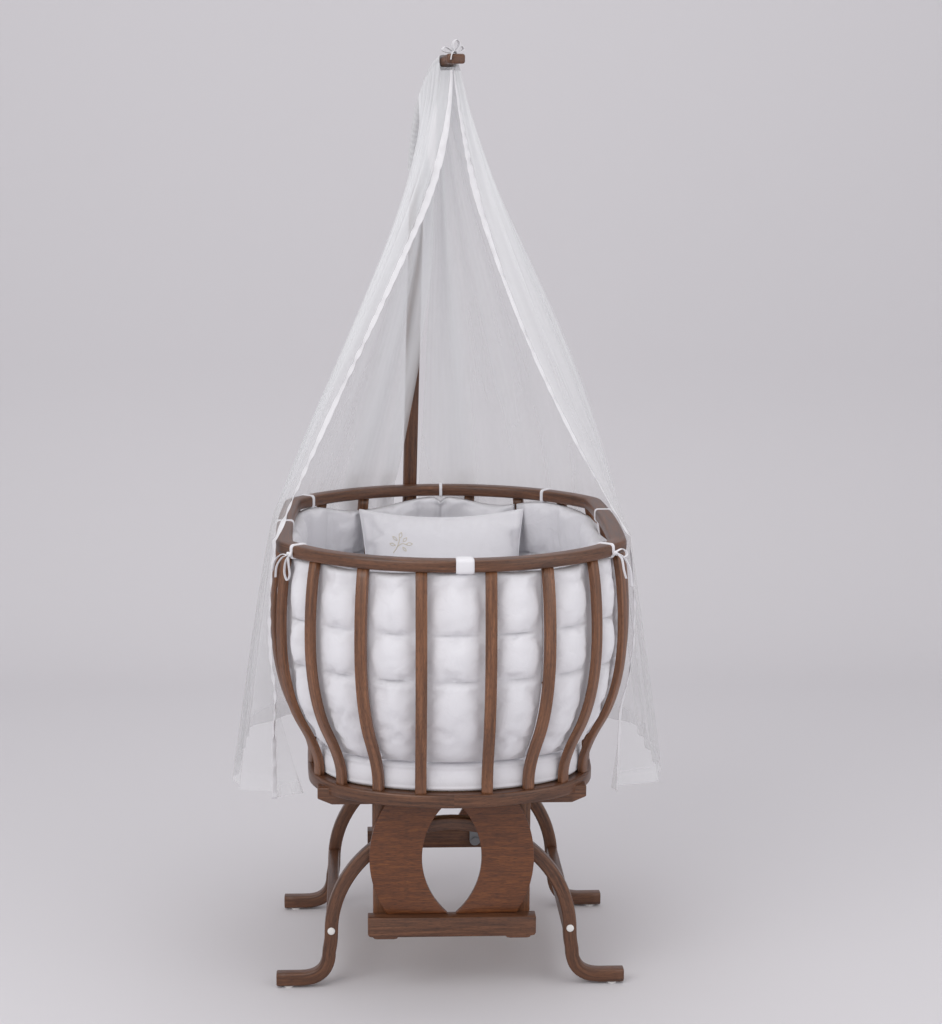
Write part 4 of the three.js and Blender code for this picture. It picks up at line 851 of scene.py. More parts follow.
def leg_path():
    """Points of the leg's centre line in X and Z, from the left foot to the right."""
    bend = ARCH_HALF_WIDTH + FOOT_SPREAD + FOOT_RADIUS
    left = [(-LEG_SPAN / 2 + t * (LEG_SPAN / 2 - bend), FOOT_LINE) for t in (0, 0.03, 0.5)]
    knee = (-bend + FOOT_RADIUS, FOOT_LINE + FOOT_RADIUS)
    for t in spaced(0, 1, 12)[:-1]:
        left.append((quadratic(-bend, knee[0], knee[0], t),
                     quadratic(FOOT_LINE, FOOT_LINE, knee[1], t)))
    middle = (knee[1] + SPRINGING) / 2
    for t in spaced(0, 1, 5)[:-1]:
        left.append((quadratic(knee[0], -ARCH_HALF_WIDTH, -ARCH_HALF_WIDTH, t),
                     quadratic(knee[1], middle, SPRINGING, t)))
    for angle in spaced(math.pi, math.pi / 2, 29):
        left.append((ARCH_HALF_WIDTH * math.cos(angle), SPRINGING + ARCH_RISE * math.sin(angle)))
    return left + [(-x, z) for x, z in reversed(left[:-1])]


def leg_object(end_name, end):
    """A bentwood arch of one bent beech square with soft edges."""
    path = leg_path()
    rings = []
    for i, (x, z) in enumerate(path):
        before, after = path[max(0, i - 1)], path[min(len(path) - 1, i + 1)]
        tangent = Vector((after[0] - before[0], after[1] - before[1])).normalized()
        size = LEG_TIP if i in (0, len(path) - 1) else 1.0
        section = rounded_rectangle(LEG_BAND * size, LEG_DEPTH * size, LEG_EDGE)
        rings.append([at(x - tangent.y * a, end * LEG_SPACING / 2 + b, z + tangent.x * a)
                      for a, b in section])
    return sweep(f"{end_name}_bentwood_leg", rings)


class CRADLE_OT_bentwood_legs(bpy.types.Operator):
    """Bend the front and the rear arch that carry the cradle"""
    bl_idname = "cradle.bentwood_legs"
    bl_label = "Bentwood legs"

    def execute(self, context):
        for end_name, end in ENDS:
            add_piece(leg_object(end_name, end), "stand", "stained_wood",
                      "stained beech hoop", f"{end_name}_leg")
        return {"FINISHED"}


class CRADLE_OT_rails(bpy.types.Operator):
    """Put the two rails between the legs"""
    bl_idname = "cradle.rails"
    bl_label = "Rails"

    def execute(self, context):
        reach = (LEG_SPACING - LEG_DEPTH) / 2 - SEAT
        w, h = STRETCHER_WIDTH / 2, STRETCHER_HEIGHT / 2
        for side_name, side in SIDES:
            x = side * ARCH_HALF_WIDTH
            outline = [(x - w, STRETCHER_LINE - h), (x + w, STRETCHER_LINE - h),
                       (x + w, STRETCHER_LINE + h), (x - w, STRETCHER_LINE + h)]
            rail = plate(f"{side_name}_rail", outline, -reach, reach, grain="y")
            add_piece(rail, "stand", "stained_wood", "stained beech hoop",
                      f"{side_name}_stretcher")
        return {"FINISHED"}


class CRADLE_OT_bolt_caps(bpy.types.Operator):
    """Press the round caps onto the bolts that hold the rails"""
    bl_idname = "cradle.bolt_caps"
    bl_label = "Bolt caps"

    def execute(self, context):
        # Shares of the cap's radius and height
        shape = ((0, 0), (1, 0), (1, 0.37), (0.92, 0.67), (0.72, 0.87), (0.4, 0.98), (0, 1))
        for end_name, end in ENDS:
            for side_name, side in SIDES:
                face = end * (LEG_FACE + SEAT)
                profile = [(CAP_RADIUS * r, face + end * CAP_HEIGHT * h) for r, h in shape]
                cap = turned(f"bolt_cap_{end_name}_{side_name}", profile,
                             side * ARCH_HALF_WIDTH, STRETCHER_LINE)
                add_piece(cap, "stand", "white_plastic", "moulded ABS",
                          f"stretcher_bolt_{end_name}_{side_name}")
        return {"FINISHED"}


# Swinging frame

def crossbar_outline():
    """The lower bar: a pad under each end and round lower corners."""
    half, low = CROSSBAR_HALF, CROSSBAR_LOW
    outer = half - BAR_PAD_INSET
    inner = outer - BAR_PAD_LENGTH
    under, shoulder = low - BAR_PAD_HEIGHT, low - 0.7 * BAR_PAD_HEIGHT
    right = [(inner - 8, low), (inner, low), (inner + 1.5, shoulder), (inner + 8, under),
             (outer - 8, under), (outer - 1.5, shoulder), (outer, low)]
    right += [(quadratic(outer, half, half, t), quadratic(low, low, low + CROSSBAR_CORNER, t))
              for t in (0.5, 1)]
    right.append((half, CROSSBAR_HIGH))
    return right + [(-x, z) for x, z in reversed(right)]


def panel_outline(side):
    """Half an end panel: bowed outside, hollow on the side of the lens."""
    low, high = CROSSBAR_HIGH + SEAT, BEARER_LOW - SEAT
    middle, half = (low + high) / 2, (high - low) / 2

    def edge(width, radius):
        return [(side * (width - radius + math.sqrt(radius ** 2 - z ** 2)), middle + z)
                for z in spaced(-half, half, 25)]

    return edge(PANEL_HALF, PANEL_EDGE_RADIUS) + edge(PANEL_GAP_HALF, PANEL_GAP_RADIUS)[::-1]


class CRADLE_OT_lower_bars(bpy.types.Operator):
    """Saw the bars that the links carry"""
    bl_idname = "cradle.lower_bars"
    bl_label = "Lower bars"

    def execute(self, context):
        for end_name, end in ENDS:
            bar = plate(f"{end_name}_lower_bar", crossbar_outline(), end * CROSSBAR_INNER,
                        end * (CROSSBAR_INNER + CROSSBAR_DEPTH), grain="x")
            add_piece(bar, "carriage", "stained_wood", "stained beech hoop",
                      f"{end_name}_crossbar")
        return {"FINISHED"}


class CRADLE_OT_uprights(bpy.types.Operator):
    """Saw the uprights behind the end panels"""
    bl_idname = "cradle.uprights"
    bl_label = "Uprights"

    def execute(self, context):
        low, high = CROSSBAR_LOW + POST_LIFT, BEARER_LOW - SEAT
        for end_name, end in ENDS:
            for side_name, side in SIDES:
                x0, x1 = side * POST_X, side * (POST_X - POST_WIDTH)
                outline = [(x0, low), (x1, low), (x1, high), (x0, high)]
                post = plate(f"{end_name}_{side_name}_upright", outline, end * POST_INNER,
                             end * POST_OUTER)
                add_piece(post, "carriage", "stained_wood", "stained beech",
                          f"post_{end_name}_{side_name}")
        return {"FINISHED"}


class CRADLE_OT_end_panels(bpy.types.Operator):
    """Saw the bowed end panels, two at each end with a lens-shaped gap between them"""
    bl_idname = "cradle.end_panels"
    bl_label = "End panels"

    def execute(self, context):
        for end_name, end in ENDS:
            for side_name, side in SIDES:
                y = end * (POST_OUTER + SEAT)
                half = plate(f"{end_name}_{side_name}_end_panel", panel_outline(side), y,
                             y + end * PANEL_THICKNESS, grain="x", radius=PANEL_EDGE)
                add_piece(half, "carriage", "panel_wood", "stained beech plywood",
                          f"panel_{end_name}_{side_name}")
        return {"FINISHED"}


class CRADLE_OT_basket_bearers(bpy.types.Operator):
    """Saw the bearers under the basket"""
    bl_idname = "cradle.basket_bearers"
    bl_label = "Basket bearers"

    def execute(self, context):
        half, low, high = BEARER_HALF, BEARER_LOW, BEARER_HIGH
        outline = [(-half, high), (-half, low + BEARER_CUT_HIGH), (-half + BEARER_CUT_LONG, low),
                   (half - BEARER_CUT_LONG, low), (half, low + BEARER_CUT_HIGH), (half, high)]
        for end_name, end in ENDS:
            bearer = plate(f"{end_name}_basket_bearer", outline, end * POST_INNER,
                           end * (POST_INNER + BEARER_DEPTH), grain="x")
            add_piece(bearer, "carriage", "stained_wood", "stained beech hoop",
                      f"{end_name}_bearer")
        return {"FINISHED"}


# Basket and mast

class CRADLE_OT_slats(bpy.types.Operator):
    """Bend the slats of the basket"""
    bl_idname = "cradle.slats"
    bl_label = "Slats"

    def execute(self, context):
        slats = merged("bent_slats", [slat_object(i) for i in range(SLAT_COUNT)])
        add_piece(slats, "carriage", "stained_wood", "stained beech", "slatted_frame")
        return {"FINISHED"}


class CRADLE_OT_hoops(bpy.types.Operator):
    """Bend the oval ring under the slats and the oval rim above them"""
    bl_idname = "cradle.hoops"
    bl_label = "Ring and rim"

    def execute(self, context):
        ring = hoop_object("oval_ring", RING, RING_LOW, RING_HEIGHT, RING_WIDTH, RING_EDGE)
        add_piece(ring, "carriage", "stained_wood", "stained beech hoop")
        rim = hoop_object("rim_hoop", RIM, RIM_LOW, RIM_HEIGHT, RIM_WIDTH, RIM_EDGE)
        add_piece(rim, "carriage", "stained_wood", "stained beech hoop", "rim")
        return {"FINISHED"}


class CRADLE_OT_mast(bpy.types.Operator):
    """Bend the mast that carries the canopy, with the block on its end"""
    bl_idname = "cradle.mast"
    bl_label = "Mast"

    def execute(self, context):
        section = rounded_rectangle(MAST_WIDTH, MAST_THICKNESS, MAST_EDGE)
        foot = mast_place((MAST_LOW - BULGE) * math.tan(math.radians(MAST_LEAN)), MAST_LOW)
        top = mast_bend(MAST_LEAN)
        stations = [(foot, MAST_LEAN)]
        stations += [(foot.lerp(top, t), MAST_LEAN) for t in (0.02, 0.5)]
        stations += [(mast_bend(a), a) for a in spaced(MAST_LEAN, 90, 25)]
        mast = sweep("bentwood_mast", [mast_ring(c, a, section) for c, a in stations])
        add_piece(mast, "carriage", "stained_wood", "stained beech hoop", "mast")
        end = mast_bend(90)
        rings = []
        # The block's rounded ends: distances from the mast's tip, and what is taken off there
        for along, less in ((SEAT, 5), (1.5, 2), (4, 0), (12, 0), (14.5, 2), (16, 6)):
            corners = rounded_rectangle(HEAD_WIDTH - less, HEAD_HEIGHT - less, HEAD_EDGE)
            rings.append(mast_ring(end + TOWARDS * along, 90, corners))
        add_piece(sweep("mast_end_block", rings), "carriage", "stained_wood",
                  "stained beech hoop", "mast_head")
        return {"FINISHED"}


# Soft goods

def pad(name, columns, rows, outside, inside):
    """A closed pad between two faces, with the number of each of its points by face, column
    and row."""
    points, index = [], {}
    faces = []
    for side, surface in (("out", outside), ("in", inside)):
        for i in range(columns + 1):
            for j in range(rows + 1):
                index[(side, i, j)] = len(points)
                points.append(at(*surface(i / columns, j / rows)))
        for i in range(columns):
            for j in range(rows):
                quad = [index[(side, i, j)], index[(side, i + 1, j)],
                        index[(side, i + 1, j + 1)], index[(side, i, j + 1)]]
                faces.append(tuple(quad if side == "out" else reversed(quad)))
    border = [(i, 0) for i in range(columns)] + [(columns, j) for j in range(rows)]
    border += [(i, rows) for i in range(columns, 0, -1)] + [(0, j) for j in range(rows, 0, -1)]
    for k, here in enumerate(border):
        there = border[(k + 1) % len(border)]
        faces.append((index[("out", *there)], index[("out", *here)],
                      index[("in", *here)], index[("in", *there)]))
    return tidy(mesh_object(name, points, faces), merge=False), index


def fill_with_air(pads):
    """Swells pads by simulated air pressure in their cloth, each held at its sewn points and
    none by more than the filling's swell. pads holds pairs of an object and the numbers of
    its sewn points."""
    scene = bpy.context.scene
    for obj, sewn in pads:
        group = obj.vertex_groups.new(name="sewn")
        group.add(sorted(sewn), 1.0, "REPLACE")
        air = obj.modifiers.new("air", "CLOTH")
        cloth = air.settings
        cloth.quality = 5
        cloth.mass = 0.15
        cloth.tension_stiffness = 12
        cloth.compression_stiffness = 12
        cloth.shear_stiffness = 4
        cloth.bending_stiffness = 0.15
        cloth.shrink_min = -0.05
        cloth.use_pressure = True
        cloth.uniform_pressure_force = 4.0
        cloth.vertex_group_mass = "sewn"
        cloth.effector_weights.gravity = 0.0
        air.collision_settings.use_collision = False
        air.point_cache.frame_start = 1
        air.point_cache.frame_end = AIR_FRAMES
    for step in range(1, AIR_FRAMES + 1):
        scene.frame_set(step)
    graph = bpy.context.evaluated_depsgraph_get()
    limit = sizes().filling_swell
    for obj, _ in pads:
        count = len(obj.data.vertices)
        start, end = np.empty(3 * count), np.empty(3 * count)
        obj.data.vertices.foreach_get("co", start)
        obj.evaluated_get(graph).data.vertices.foreach_get("co", end)
        move = (end - start).reshape(-1, 3)
        far = np.maximum(np.linalg.norm(move, axis=1, keepdims=True), 1e-9)
        move *= limit * np.tanh(far / max(limit, 1e-6)) / far
        obj.modifiers.clear()
        obj.vertex_groups.clear()
        obj.data.vertices.foreach_set("co", start + move.ravel())
        obj.data.update()
    scene.frame_set(1)


# Bedding

class CRADLE_OT_mattress(bpy.types.Operator):
    """Lay the flat oval mattress, with piped edges and a slight crown"""
    bl_idname = "cradle.mattress"
    bl_label = "Mattress"

    def execute(self, context):
        edge = SLAT_INSET + SLAT_THICKNESS + BEDDING_GAP
        low, crown = MATTRESS_LOW, MATTRESS_CROWN
        high = low + MATTRESS_THICKNESS - crown
        # Up from the flat base, over two piped edges, to the crown: distance in and height
        levels = [(edge + 60, low), (edge + 8, low), (edge + 3, low + 2), (edge + 1, low + 5),
                  (edge - 0.5, low + 7), (edge + 1, low + 9)]
        levels += [(edge + 1 - 2.5 * math.sin(math.pi * t), low + 9 + t * (high - low - 18))
                   for t in spaced(0, 1, 9)[1:-1]]
        levels += [(edge + 1, high - 9), (edge - 0.5, high - 7), (edge + 1, high - 5),
                   (edge + 3, high - 1), (edge + 9, high + 1), (edge + 30, high + 0.35 * crown),
                   (edge + 60, high + 0.6 * crown), (edge + 110, high + 0.85 * crown),
                   (edge + 150, high + 0.92 * crown)]
        count = 180
        points, faces = [], []
        for level, (inset, z) in enumerate(levels):
            on_top = level > len(levels) - 6
            for i in range(count):
                place, _ = RING.at(RING.length * i / count, inset)
                dent = 0.8 * fbm(place.x / 40, place.y / 40, z / 30) if on_top else 0
                points.append(at(place.x, place.y, z + dent))
        for i in range(len(levels) - 1):
            for j in range(count):
                k = (j + 1) % count
                faces.append((i * count + j, i * count + k,
                              (i + 1) * count + k, (i + 1) * count + j))
        faces.append(tuple(reversed(range(count))))
        # The top closes on one point in the middle
        last = (len(levels) - 1) * count
        middle = len(points)
        points.append(at(0, 0, high + crown))
        for j in range(count):
            faces.append((last + j, last + (j + 1) % count, middle))
        mattress = tidy(mesh_object("cot_mattress", points, faces))
        add_piece(mattress, "carriage", "cotton", "cotton sheeting", "mattress")
        return {"FINISHED"}


def bumper_top(place):
    """Height of the bumper's top edge, which sags between its ties."""
    around = place % SLAT_COUNT
    stops = sorted(p % SLAT_COUNT for p in TIES.values())
    following = next((i for i, p in enumerate(stops) if p > around), None)
    if following is None:
        start, end = stops[-1], stops[0] + SLAT_COUNT
    elif following == 0:
        start, end = stops[-1] - SLAT_COUNT, stops[0]
    else:
        start, end = stops[following - 1], stops[following]
    share = (around - start) / (end - start)
    # Between ties less than five slats apart it sags less
    span = min(1.0, (end - start) / 5)
    at_front = around > TIES["left_front"] or around < TIES["right_front"]
    sag = BUMPER_SAG_FRONT if at_front else BUMPER_SAG
    return RIM_LOW - BUMPER_TOP_GAP - sag * span * math.sin(math.pi * share) ** 2


def bumper_height(place, v):
    """Height of a place on a bumper: v runs evenly over its rows of cells."""
    levels = [BUMPER_LOW, *BUMPER_SEAMS, bumper_top(place)]
    row = min(len(BUMPER_SEAMS), int(v * (len(BUMPER_SEAMS) + 1) + 1e-6))
    within = v * (len(BUMPER_SEAMS) + 1) - row
    return levels[row] + within * (levels[row + 1] - levels[row])


def bumper_object(name, start, end):
    """A quilted bumper: cells that swell between the slats, sewn down along two level seams
    and held by the slats, with creases that run into the seams. Returned with its sewn
    points."""
    cells = end - start
    rows_of_cells = len(BUMPER_SEAMS) + 1
    per_cell, per_row = 14, 18
    columns, rows = per_cell * cells, per_row * rows_of_cells
    thickness, seam = millimetres(sizes().bumper_thickness), millimetres(sizes().bumper_seam)
    slat = 0.12              # of a cell, that half a slat covers
    firm = BUMPER_FIRM
    known = {}

    def spot(u, v):
        """What both faces share at a place of the bumper."""
        key = (round(u * columns), round(v * rows))
        if key in known:
            return known[key]
        place = min(end - BUMPER_MARGIN, max(start + BUMPER_MARGIN, start + cells * u))
        height = bumper_height(place, v)
        within = place - math.floor(place)
        between = 0.0
        if slat < within < 1 - slat:
            between = math.sin(math.pi * (within - slat) / (1 - 2 * slat)) ** 0.7
        notch = math.exp(-((place - TIES["rear"]) / NOTCH_WIDTH) ** 2)
        pull = abs(math.sin(math.pi * v * rows_of_cells))
        swell = pull ** 0.3 * (0.45 + 0.55 * between) * (1 - 0.85 * notch)
        from_end = min(u, 1 - u) * cells * CELL_WIDTH
        swell *= max(0.0, min(1.0, from_end / CELL_END)) ** 0.5
        # The top edge dips in a notch beside the rear tie
        if v > 2 / 3:
            height -= NOTCH_DEPTH * (3 * v - 2) * notch
        near = slat_depth(place, height) + BEDDING_GAP
        # Creases that fade towards the middle of a row, and soft dents all over
        crease = fbm(place * 7.0, height / 150, 1.0 + start) * 1.9 * (1.2 - pull)
        crease += fbm(place * 2.2, height / 40, 9.0 + start) * 1.2
        known[key] = place, height, near, swell, between, crease
        return known[key]

    def off_hem(v):
        """0 on the lower and upper hem, and 1 a quarter of a cell from them."""
        return min(1.0, 12 * v, 12 * (1 - v))

    def outside(u, v):
        place, height, near, swell, between, crease = spot(u, v)
        out = (BUMPER_DRAW + firm * BUMPER_BULGE + 1.5 * crease) * between * swell
        return wall_point(place, height, near + BUMPER_DRAW * off_hem(v) - out)

    def inside(u, v):
        place, height, near, swell, _, crease = spot(u, v)
        thick = seam + (firm * thickness - seam) * swell
        return wall_point(place, height, near + thick + 1.6 * crease * swell)

    bumper, index = pad(name, columns, rows, outside, inside)
    sewn = {number for (side, i, j), number in index.items()
            if j % per_row == 0 or i in (0, columns)
            or (side == "out" and i % per_cell in (0, 1, per_cell - 1))}
    return bumper, sewn


class CRADLE_OT_bumpers(bpy.types.Operator):
    """Sew and fill the four quilted bumpers inside the slats"""
    bl_idname = "cradle.bumpers"
    bl_label = "Quilted bumpers"

    def execute(self, context):
        corner, rear = 1, 10
        last = SLAT_COUNT - 1
        spans = {"right": (corner, rear), "rear": (rear, last - rear),
                 "left": (last - rear, last - corner), "front": (last - corner, last + 1 + corner)}
        made = {name: bumper_object(f"{name}_quilted_bumper", *span)
                for name, span in spans.items()}
        fill_with_air(list(made.values()))
        for name, (bumper, _) in made.items():
            add_piece(bumper, "carriage", "cotton", "quilted cotton", f"bumper_{name}")
        return {"FINISHED"}


def pillow_place(thickness):
    """The lean and the middle of the pillow where it leans on the rear bumper."""
    lean = math.radians(PILLOW_LEAN)
    top = MATTRESS_LOW + MATTRESS_THICKNESS
    middle = top + PILLOW_HEIGHT / 2 * math.cos(lean) + PILLOW_LIFT
    rear = SLAT_COUNT / 2 - 0.5
    bumper = millimetres(sizes().bumper_thickness)
    rest = math.inf
    for i in range(-9, 10):
        along = i / 10 * PILLOW_HEIGHT / 2
        crown = (1 - abs(i / 10) ** PILLOW_SQUARE) ** PILLOW_FULL
        z = middle + along * math.cos(lean) - thickness / 2 * crown * math.sin(lean)
        y = along * math.sin(lean) + thickness / 2 * crown * math.cos(lean)
        inner = wall_point(rear, z, slat_depth(rear, z) + BEDDING_GAP + bumper).y
        rest = min(rest, inner - y)
    return lean, Vector((0, rest - PILLOW_FORWARD, middle))


def pillow_crown(x, y, thickness):
    """Depth of the pillow at shares of its half width and half height."""
    full = (1 - abs(x) ** PILLOW_SQUARE) * (1 - abs(y) ** PILLOW_SQUARE)
    full = max(0.0, full) ** PILLOW_FULL
    # Soft dents all over, and creases that run out from the middle to the corners
    pull = fbm(2.6 * x, 2.6 * y, 4.0) * 2.4 * full
    corner = (abs(x) * abs(y)) ** 2
    rays = fbm(9 * math.atan2(y, x), 1.0, 2.0) * 3.0 * full * (1 - full) * (1 + corner)
    return PILLOW_HEM + (thickness / 2 - PILLOW_HEM) * full + pull + rays


class CRADLE_OT_pillow(bpy.types.Operator):
    """Sew and fill the pillow, pipe its edge and embroider a small sprig on it"""
    bl_idname = "cradle.pillow"
    bl_label = "Pillow"

    def execute(self, context):
        thickness = millimetres(sizes().pillow_thickness)
        lean, middle = pillow_place(thickness)
        up = Vector((0, math.sin(lean), math.cos(lean)))
        front = Vector((0, -math.cos(lean), math.sin(lean)))

        def point(x, y, depth):
            px = x * PILLOW_WIDTH / 2 * (1 - PILLOW_WAIST * (1 - y * y))
            py = y * PILLOW_HEIGHT / 2 * (1 - PILLOW_WAIST * (1 - x * x))
            return middle + Vector((px, 0, 0)) + up * py + front * depth

        steps = 56
        firm = thickness - PILLOW_AIR
        body, index = pad(
            "pillow_body", steps, steps,
            lambda u, v: point(2 * u - 1, 2 * v - 1, pillow_crown(2 * u - 1, 2 * v - 1, firm)),
            lambda u, v: point(2 * u - 1, 2 * v - 1, -pillow_crown(1 - 2 * u, 2 * v - 1, firm)))
        sewn = {number for (_, i, j), number in index.items() if {i, j} & {0, steps}}
        fill_with_air([(body, sewn)])
        bm = bmesh.new()
        bm.from_mesh(body.data)
        surface = BVHTree.FromBMesh(bm)
        bm.free()

        along = [-1 + 2 * i / steps for i in range(steps)]
        edge = [(a, -1) for a in along] + [(1, a) for a in along]
        edge += [(-x, -y) for x, y in edge]
        piping = tube("pillow_piping", [at(*point(x, y, 0)) for x, y in edge], 2.0, closed=True)
        pillow = merged("head_pillow", [body, piping])
        add_piece(pillow, "carriage", "cotton", "cotton sheeting", "pillow")
        self.embroider(surface, point, front)
        return {"FINISHED"}

    def embroider(self, surface, point, front):
        """A stem with a side twig and six leaves, in raised thread."""
        parts = []

        def thread(spots, radius):
            path = []
            spots = [Vector(SPRIG_PLACE) + SPRIG_SIZE * Vector(spot) for spot in spots]
            for x, y in smooth_path(spots, 6):
                hit, _, _, _ = surface.ray_cast(at(*point(x, y, 90)), -front)
                if hit is None:
                    raise RuntimeError("the sprig lies off the pillow")
                path.append(hit + front * 0.4 * MM)
            parts.append(tube(f"thread_{len(parts)}", path, radius, steps=6))

        # The stem, the twig, and the leaves by their middle, tilt in radians and size
        thread([(-0.1, -0.14), (-0.02, -0.03), (0.03, 0.1)], 1.0)
        thread([(-0.02, -0.03), (0.07, 0.02), (0.16, 0.0)], 0.9)
        for x, y, tilt, size in ((0.05, 0.16, 1.2, 1.0), (-0.05, 0.1, 2.4, 0.9),
                                 (0.19, 0.02, 0.1, 1.0), (0.12, 0.09, 0.8, 0.9),
                                 (0.1, -0.07, -0.8, 0.8), (-0.1, 0.0, 2.9, 0.9)):
            c, s = 0.055 * size * math.cos(tilt), 0.055 * size * math.sin(tilt)
            for bow in (-0.45, 0.45):
                thread([(x - c, y - s), (x - bow * s, y + bow * c), (x + c, y + s)], 0.8)
        sprig = merged("pillow_sprig", parts)
        add_piece(sprig, "carriage", "satin", "embroidery cotton")


# Canopy

def fold_wave(u):
    """How far the cloth stands out in folds, 0 to 1, across one half of the canopy."""
    return 0.5 - 0.5 * math.cos(2 * math.pi * CANOPY_FOLDS * u)


def canopy_top(hand, u):
    """Where one half hangs from the sleeve: u runs from the tip (0) to its back edge (1)."""
    angle = GATHER_HIGH - (GATHER_HIGH - GATHER_LOW) * u
    # The cloth next to the front edge hangs under the mast and the rest beside the sleeve
    under = max(0.0, 1 - u / 0.12)
    beside = MAST_WIDTH / 2 + SLEEVE_ROOM + SEAT
    side = beside - (beside - CANOPY_MEETING) * max(0.0, 2 * under - 1)
    point = mast_bend(angle) + ACROSS * (hand * side)
    point.z -= CANOPY_MEETING * math.sin(math.radians(angle)) + 18 * min(1.0, 2 * under)
    return point


def canopy_below_rim(hand, place, rim, out, u, down):
    """Below the rim: the front edges hang almost plumb, the first fold goes in under the
    basket's bulge, and the sides flare."""
    # front is 1 on the front edge and fades round the half
    front = math.exp(-((u / 0.05) ** 2))
    sideways = abs(out.x) ** 1.5
    flare = CANOPY_LOOSE + (CANOPY_FLARE - CANOPY_LOOSE) * sideways * (1 - front)
    flare += (CANOPY_PLUMB[hand] - CANOPY_LOOSE) * front
    rear = CANOPY_REAR_FLARE * max(0.0, out.y) ** 2
    within = (u - FIRST_FOLD) / 0.022
    under = max(0.0, (down - 0.4) / 0.6) ** 1.2
    tuck = CANOPY_TUCK[hand] * under * math.exp(-(within ** 2))
    fold = (3 + 10 * down) * fold_wave(u)
    reach = flare * down ** 0.8 + rear * down ** 0.4 - tuck + fold
    reach += 2.5 * down * fbm(14 * u, 2.2 * down, 3.0 * hand)
    height = rim.z + (CANOPY_HEM - rim.z) * down
    wall = wall_point(place, max(height, RING_LOW))
    nearest = CANOPY_CLEAR + (wall - rim).xy.dot(out)
    if reach < nearest + CANOPY_EASE:
        eased = CANOPY_EASE * math.exp((reach - nearest) / CANOPY_EASE - 1)
        reach = max(reach, nearest + eased)
    point = rim + Vector((out.x, out.y, 0)) * reach
    point.z = height
    return point


def canopy_above_rim(hand, top, rim, out, u, s):
    """Above the rim: each line hangs in a curve from the sleeve to the rim. The right half
    stands out further, and the left half's back edge passes in front of the mast."""
    right = hand > 0
    swell = math.sin(math.pi * u) ** 0.8 if 0 < u < 1 else 0.0
    # The control points of the curve, at 30% and 62% of its drop
    first = top.lerp(rim, 0.02 + right * (0.09 + 0.06 * swell))
    first.z = top.z - (top.z - rim.z) * 0.3
    second = top.lerp(rim, 0.5 + 0.1 * (1 - u) + right * (0.34 * swell - 0.22 * (1 - u) ** 3))
    second.z = top.z - (top.z - rim.z) * 0.62
    point = cubic(top, first, second, rim, s)
    arc = math.sin(math.pi * s) if 0 < s < 1 else 0.0
    # The left half's back edge, moved inwards and across the mast
    if hand < 0:
        drape = u ** 6 * max(0.0, math.sin(math.pi * s ** 0.8))
        point += TOWARDS * (27 * u ** 6 * arc ** 0.5) + ACROSS * (36 * drape * min(1.0, s / 0.2))
    normal = (ACROSS * hand).lerp(Vector((out.x, out.y, 0)), min(1.0, 3 * s)).normalized()
    # Depth of the folds at the sleeve, over the rim and halfway between them
    top_depth, rim_depth, middle_depth = 1.2, 3, millimetres(sizes().fold_depth)
    depth = top_depth + (rim_depth - top_depth) * s ** 4
    depth += (middle_depth - top_depth) * arc ** 0.7
    return point + normal * (depth * fold_wave(u) + 2.2 * arc * fbm(14 * u, 2.2 * s, 3.0 * hand))


def canopy_point(hand, u, v):
    """A point of one half of the canopy. v runs down it, from the sleeve (0) over the rim
    (RIM_SHARE) to the hem (1). hand is -1 for the left half and 1 for the right half."""
    start, end = RIM.distance(CANOPY_FRONT[hand]), RIM.distance(CANOPY_BACK[hand])
    spot, out = RIM.at(start + (end - start) * u)
    outward = Vector((out.x, out.y, 0))
    rim = Vector((spot.x, spot.y, RIM_LOW + RIM_HEIGHT + CANOPY_MEETING))
    rim += outward * CANOPY_RIM_GAP
    if v >= RIM_SHARE:
        down = (v - RIM_SHARE) / (1 - RIM_SHARE)
        place = CANOPY_FRONT[hand] + (CANOPY_BACK[hand] - CANOPY_FRONT[hand]) * u
        return canopy_below_rim(hand, place, rim, out, u, down) + outward * VEIL_AWAY
    s = v / RIM_SHARE
    point = canopy_above_rim(hand, canopy_top(hand, u), rim, out, u, s)
    return point + (ACROSS * hand).lerp(outward, min(1.0, 3 * s)).normalized() * VEIL_AWAY


def bunching(hand, u, s):
    """How many times as thick the veil lies in the bunches at its back edge, which hide the
    upper part of the mast. s runs from the sleeve (0) to the rim (1)."""
    # Middle and width of each bunch, as shares of the way round the half
    bunches = ((0.975, 0.02), (0.89, 0.035)) if hand < 0 else ((0.905, 0.03),)
    strength = 10 - 6 * min(1.0, s)
    return sum(strength * math.exp(-(((u - middle) / width) ** 2)) for middle, width in bunches)


def canopy_half(name, hand):
    """One half of the canopy as a single layer of cloth, its UVs along the folds. The density
    layer holds how many layers of flat net lie gathered at each point."""
    columns, rows = CANOPY_FOLDS * 22, 78
    most = 14                # layers: more look the same
    grid = [[canopy_point(hand, i / columns, j / rows) for i in range(columns + 1)]
            for j in range(rows + 1)]
    flat = millimetres(sizes().cloth_width) / columns
    uvs, density = [], []
    for j, row in enumerate(grid):
        v = j / rows
        for i in range(columns + 1):
            a, b = max(0, i - 3), min(columns, i + 3)
            run = sum((row[k + 1] - row[k]).length for k in range(a, b))
            layers = max(1.0, flat * (b - a) / max(run, 0.1))
            layers += bunching(hand, i / columns, v / RIM_SHARE)
            hem = 1.0 if j >= rows - 1 else 0.0
            density.append((min(layers, most) + hem, 0.0))
            # In metres of cloth, with the right half on another part of the pattern
            uvs.append((2.2 * v, 1.6 * i / columns + 5 * (hand > 0)))
    stride = columns + 1
    faces = [(a, a + 1, a + stride + 1, a + stride)
             for j in range(rows) for a in range(j * stride, j * stride + columns)]
    half = mesh_object(name, [at(*point) for row in grid for point in row], faces, uvs)
    add_uv_layer(half.data, "density", density)
    return half


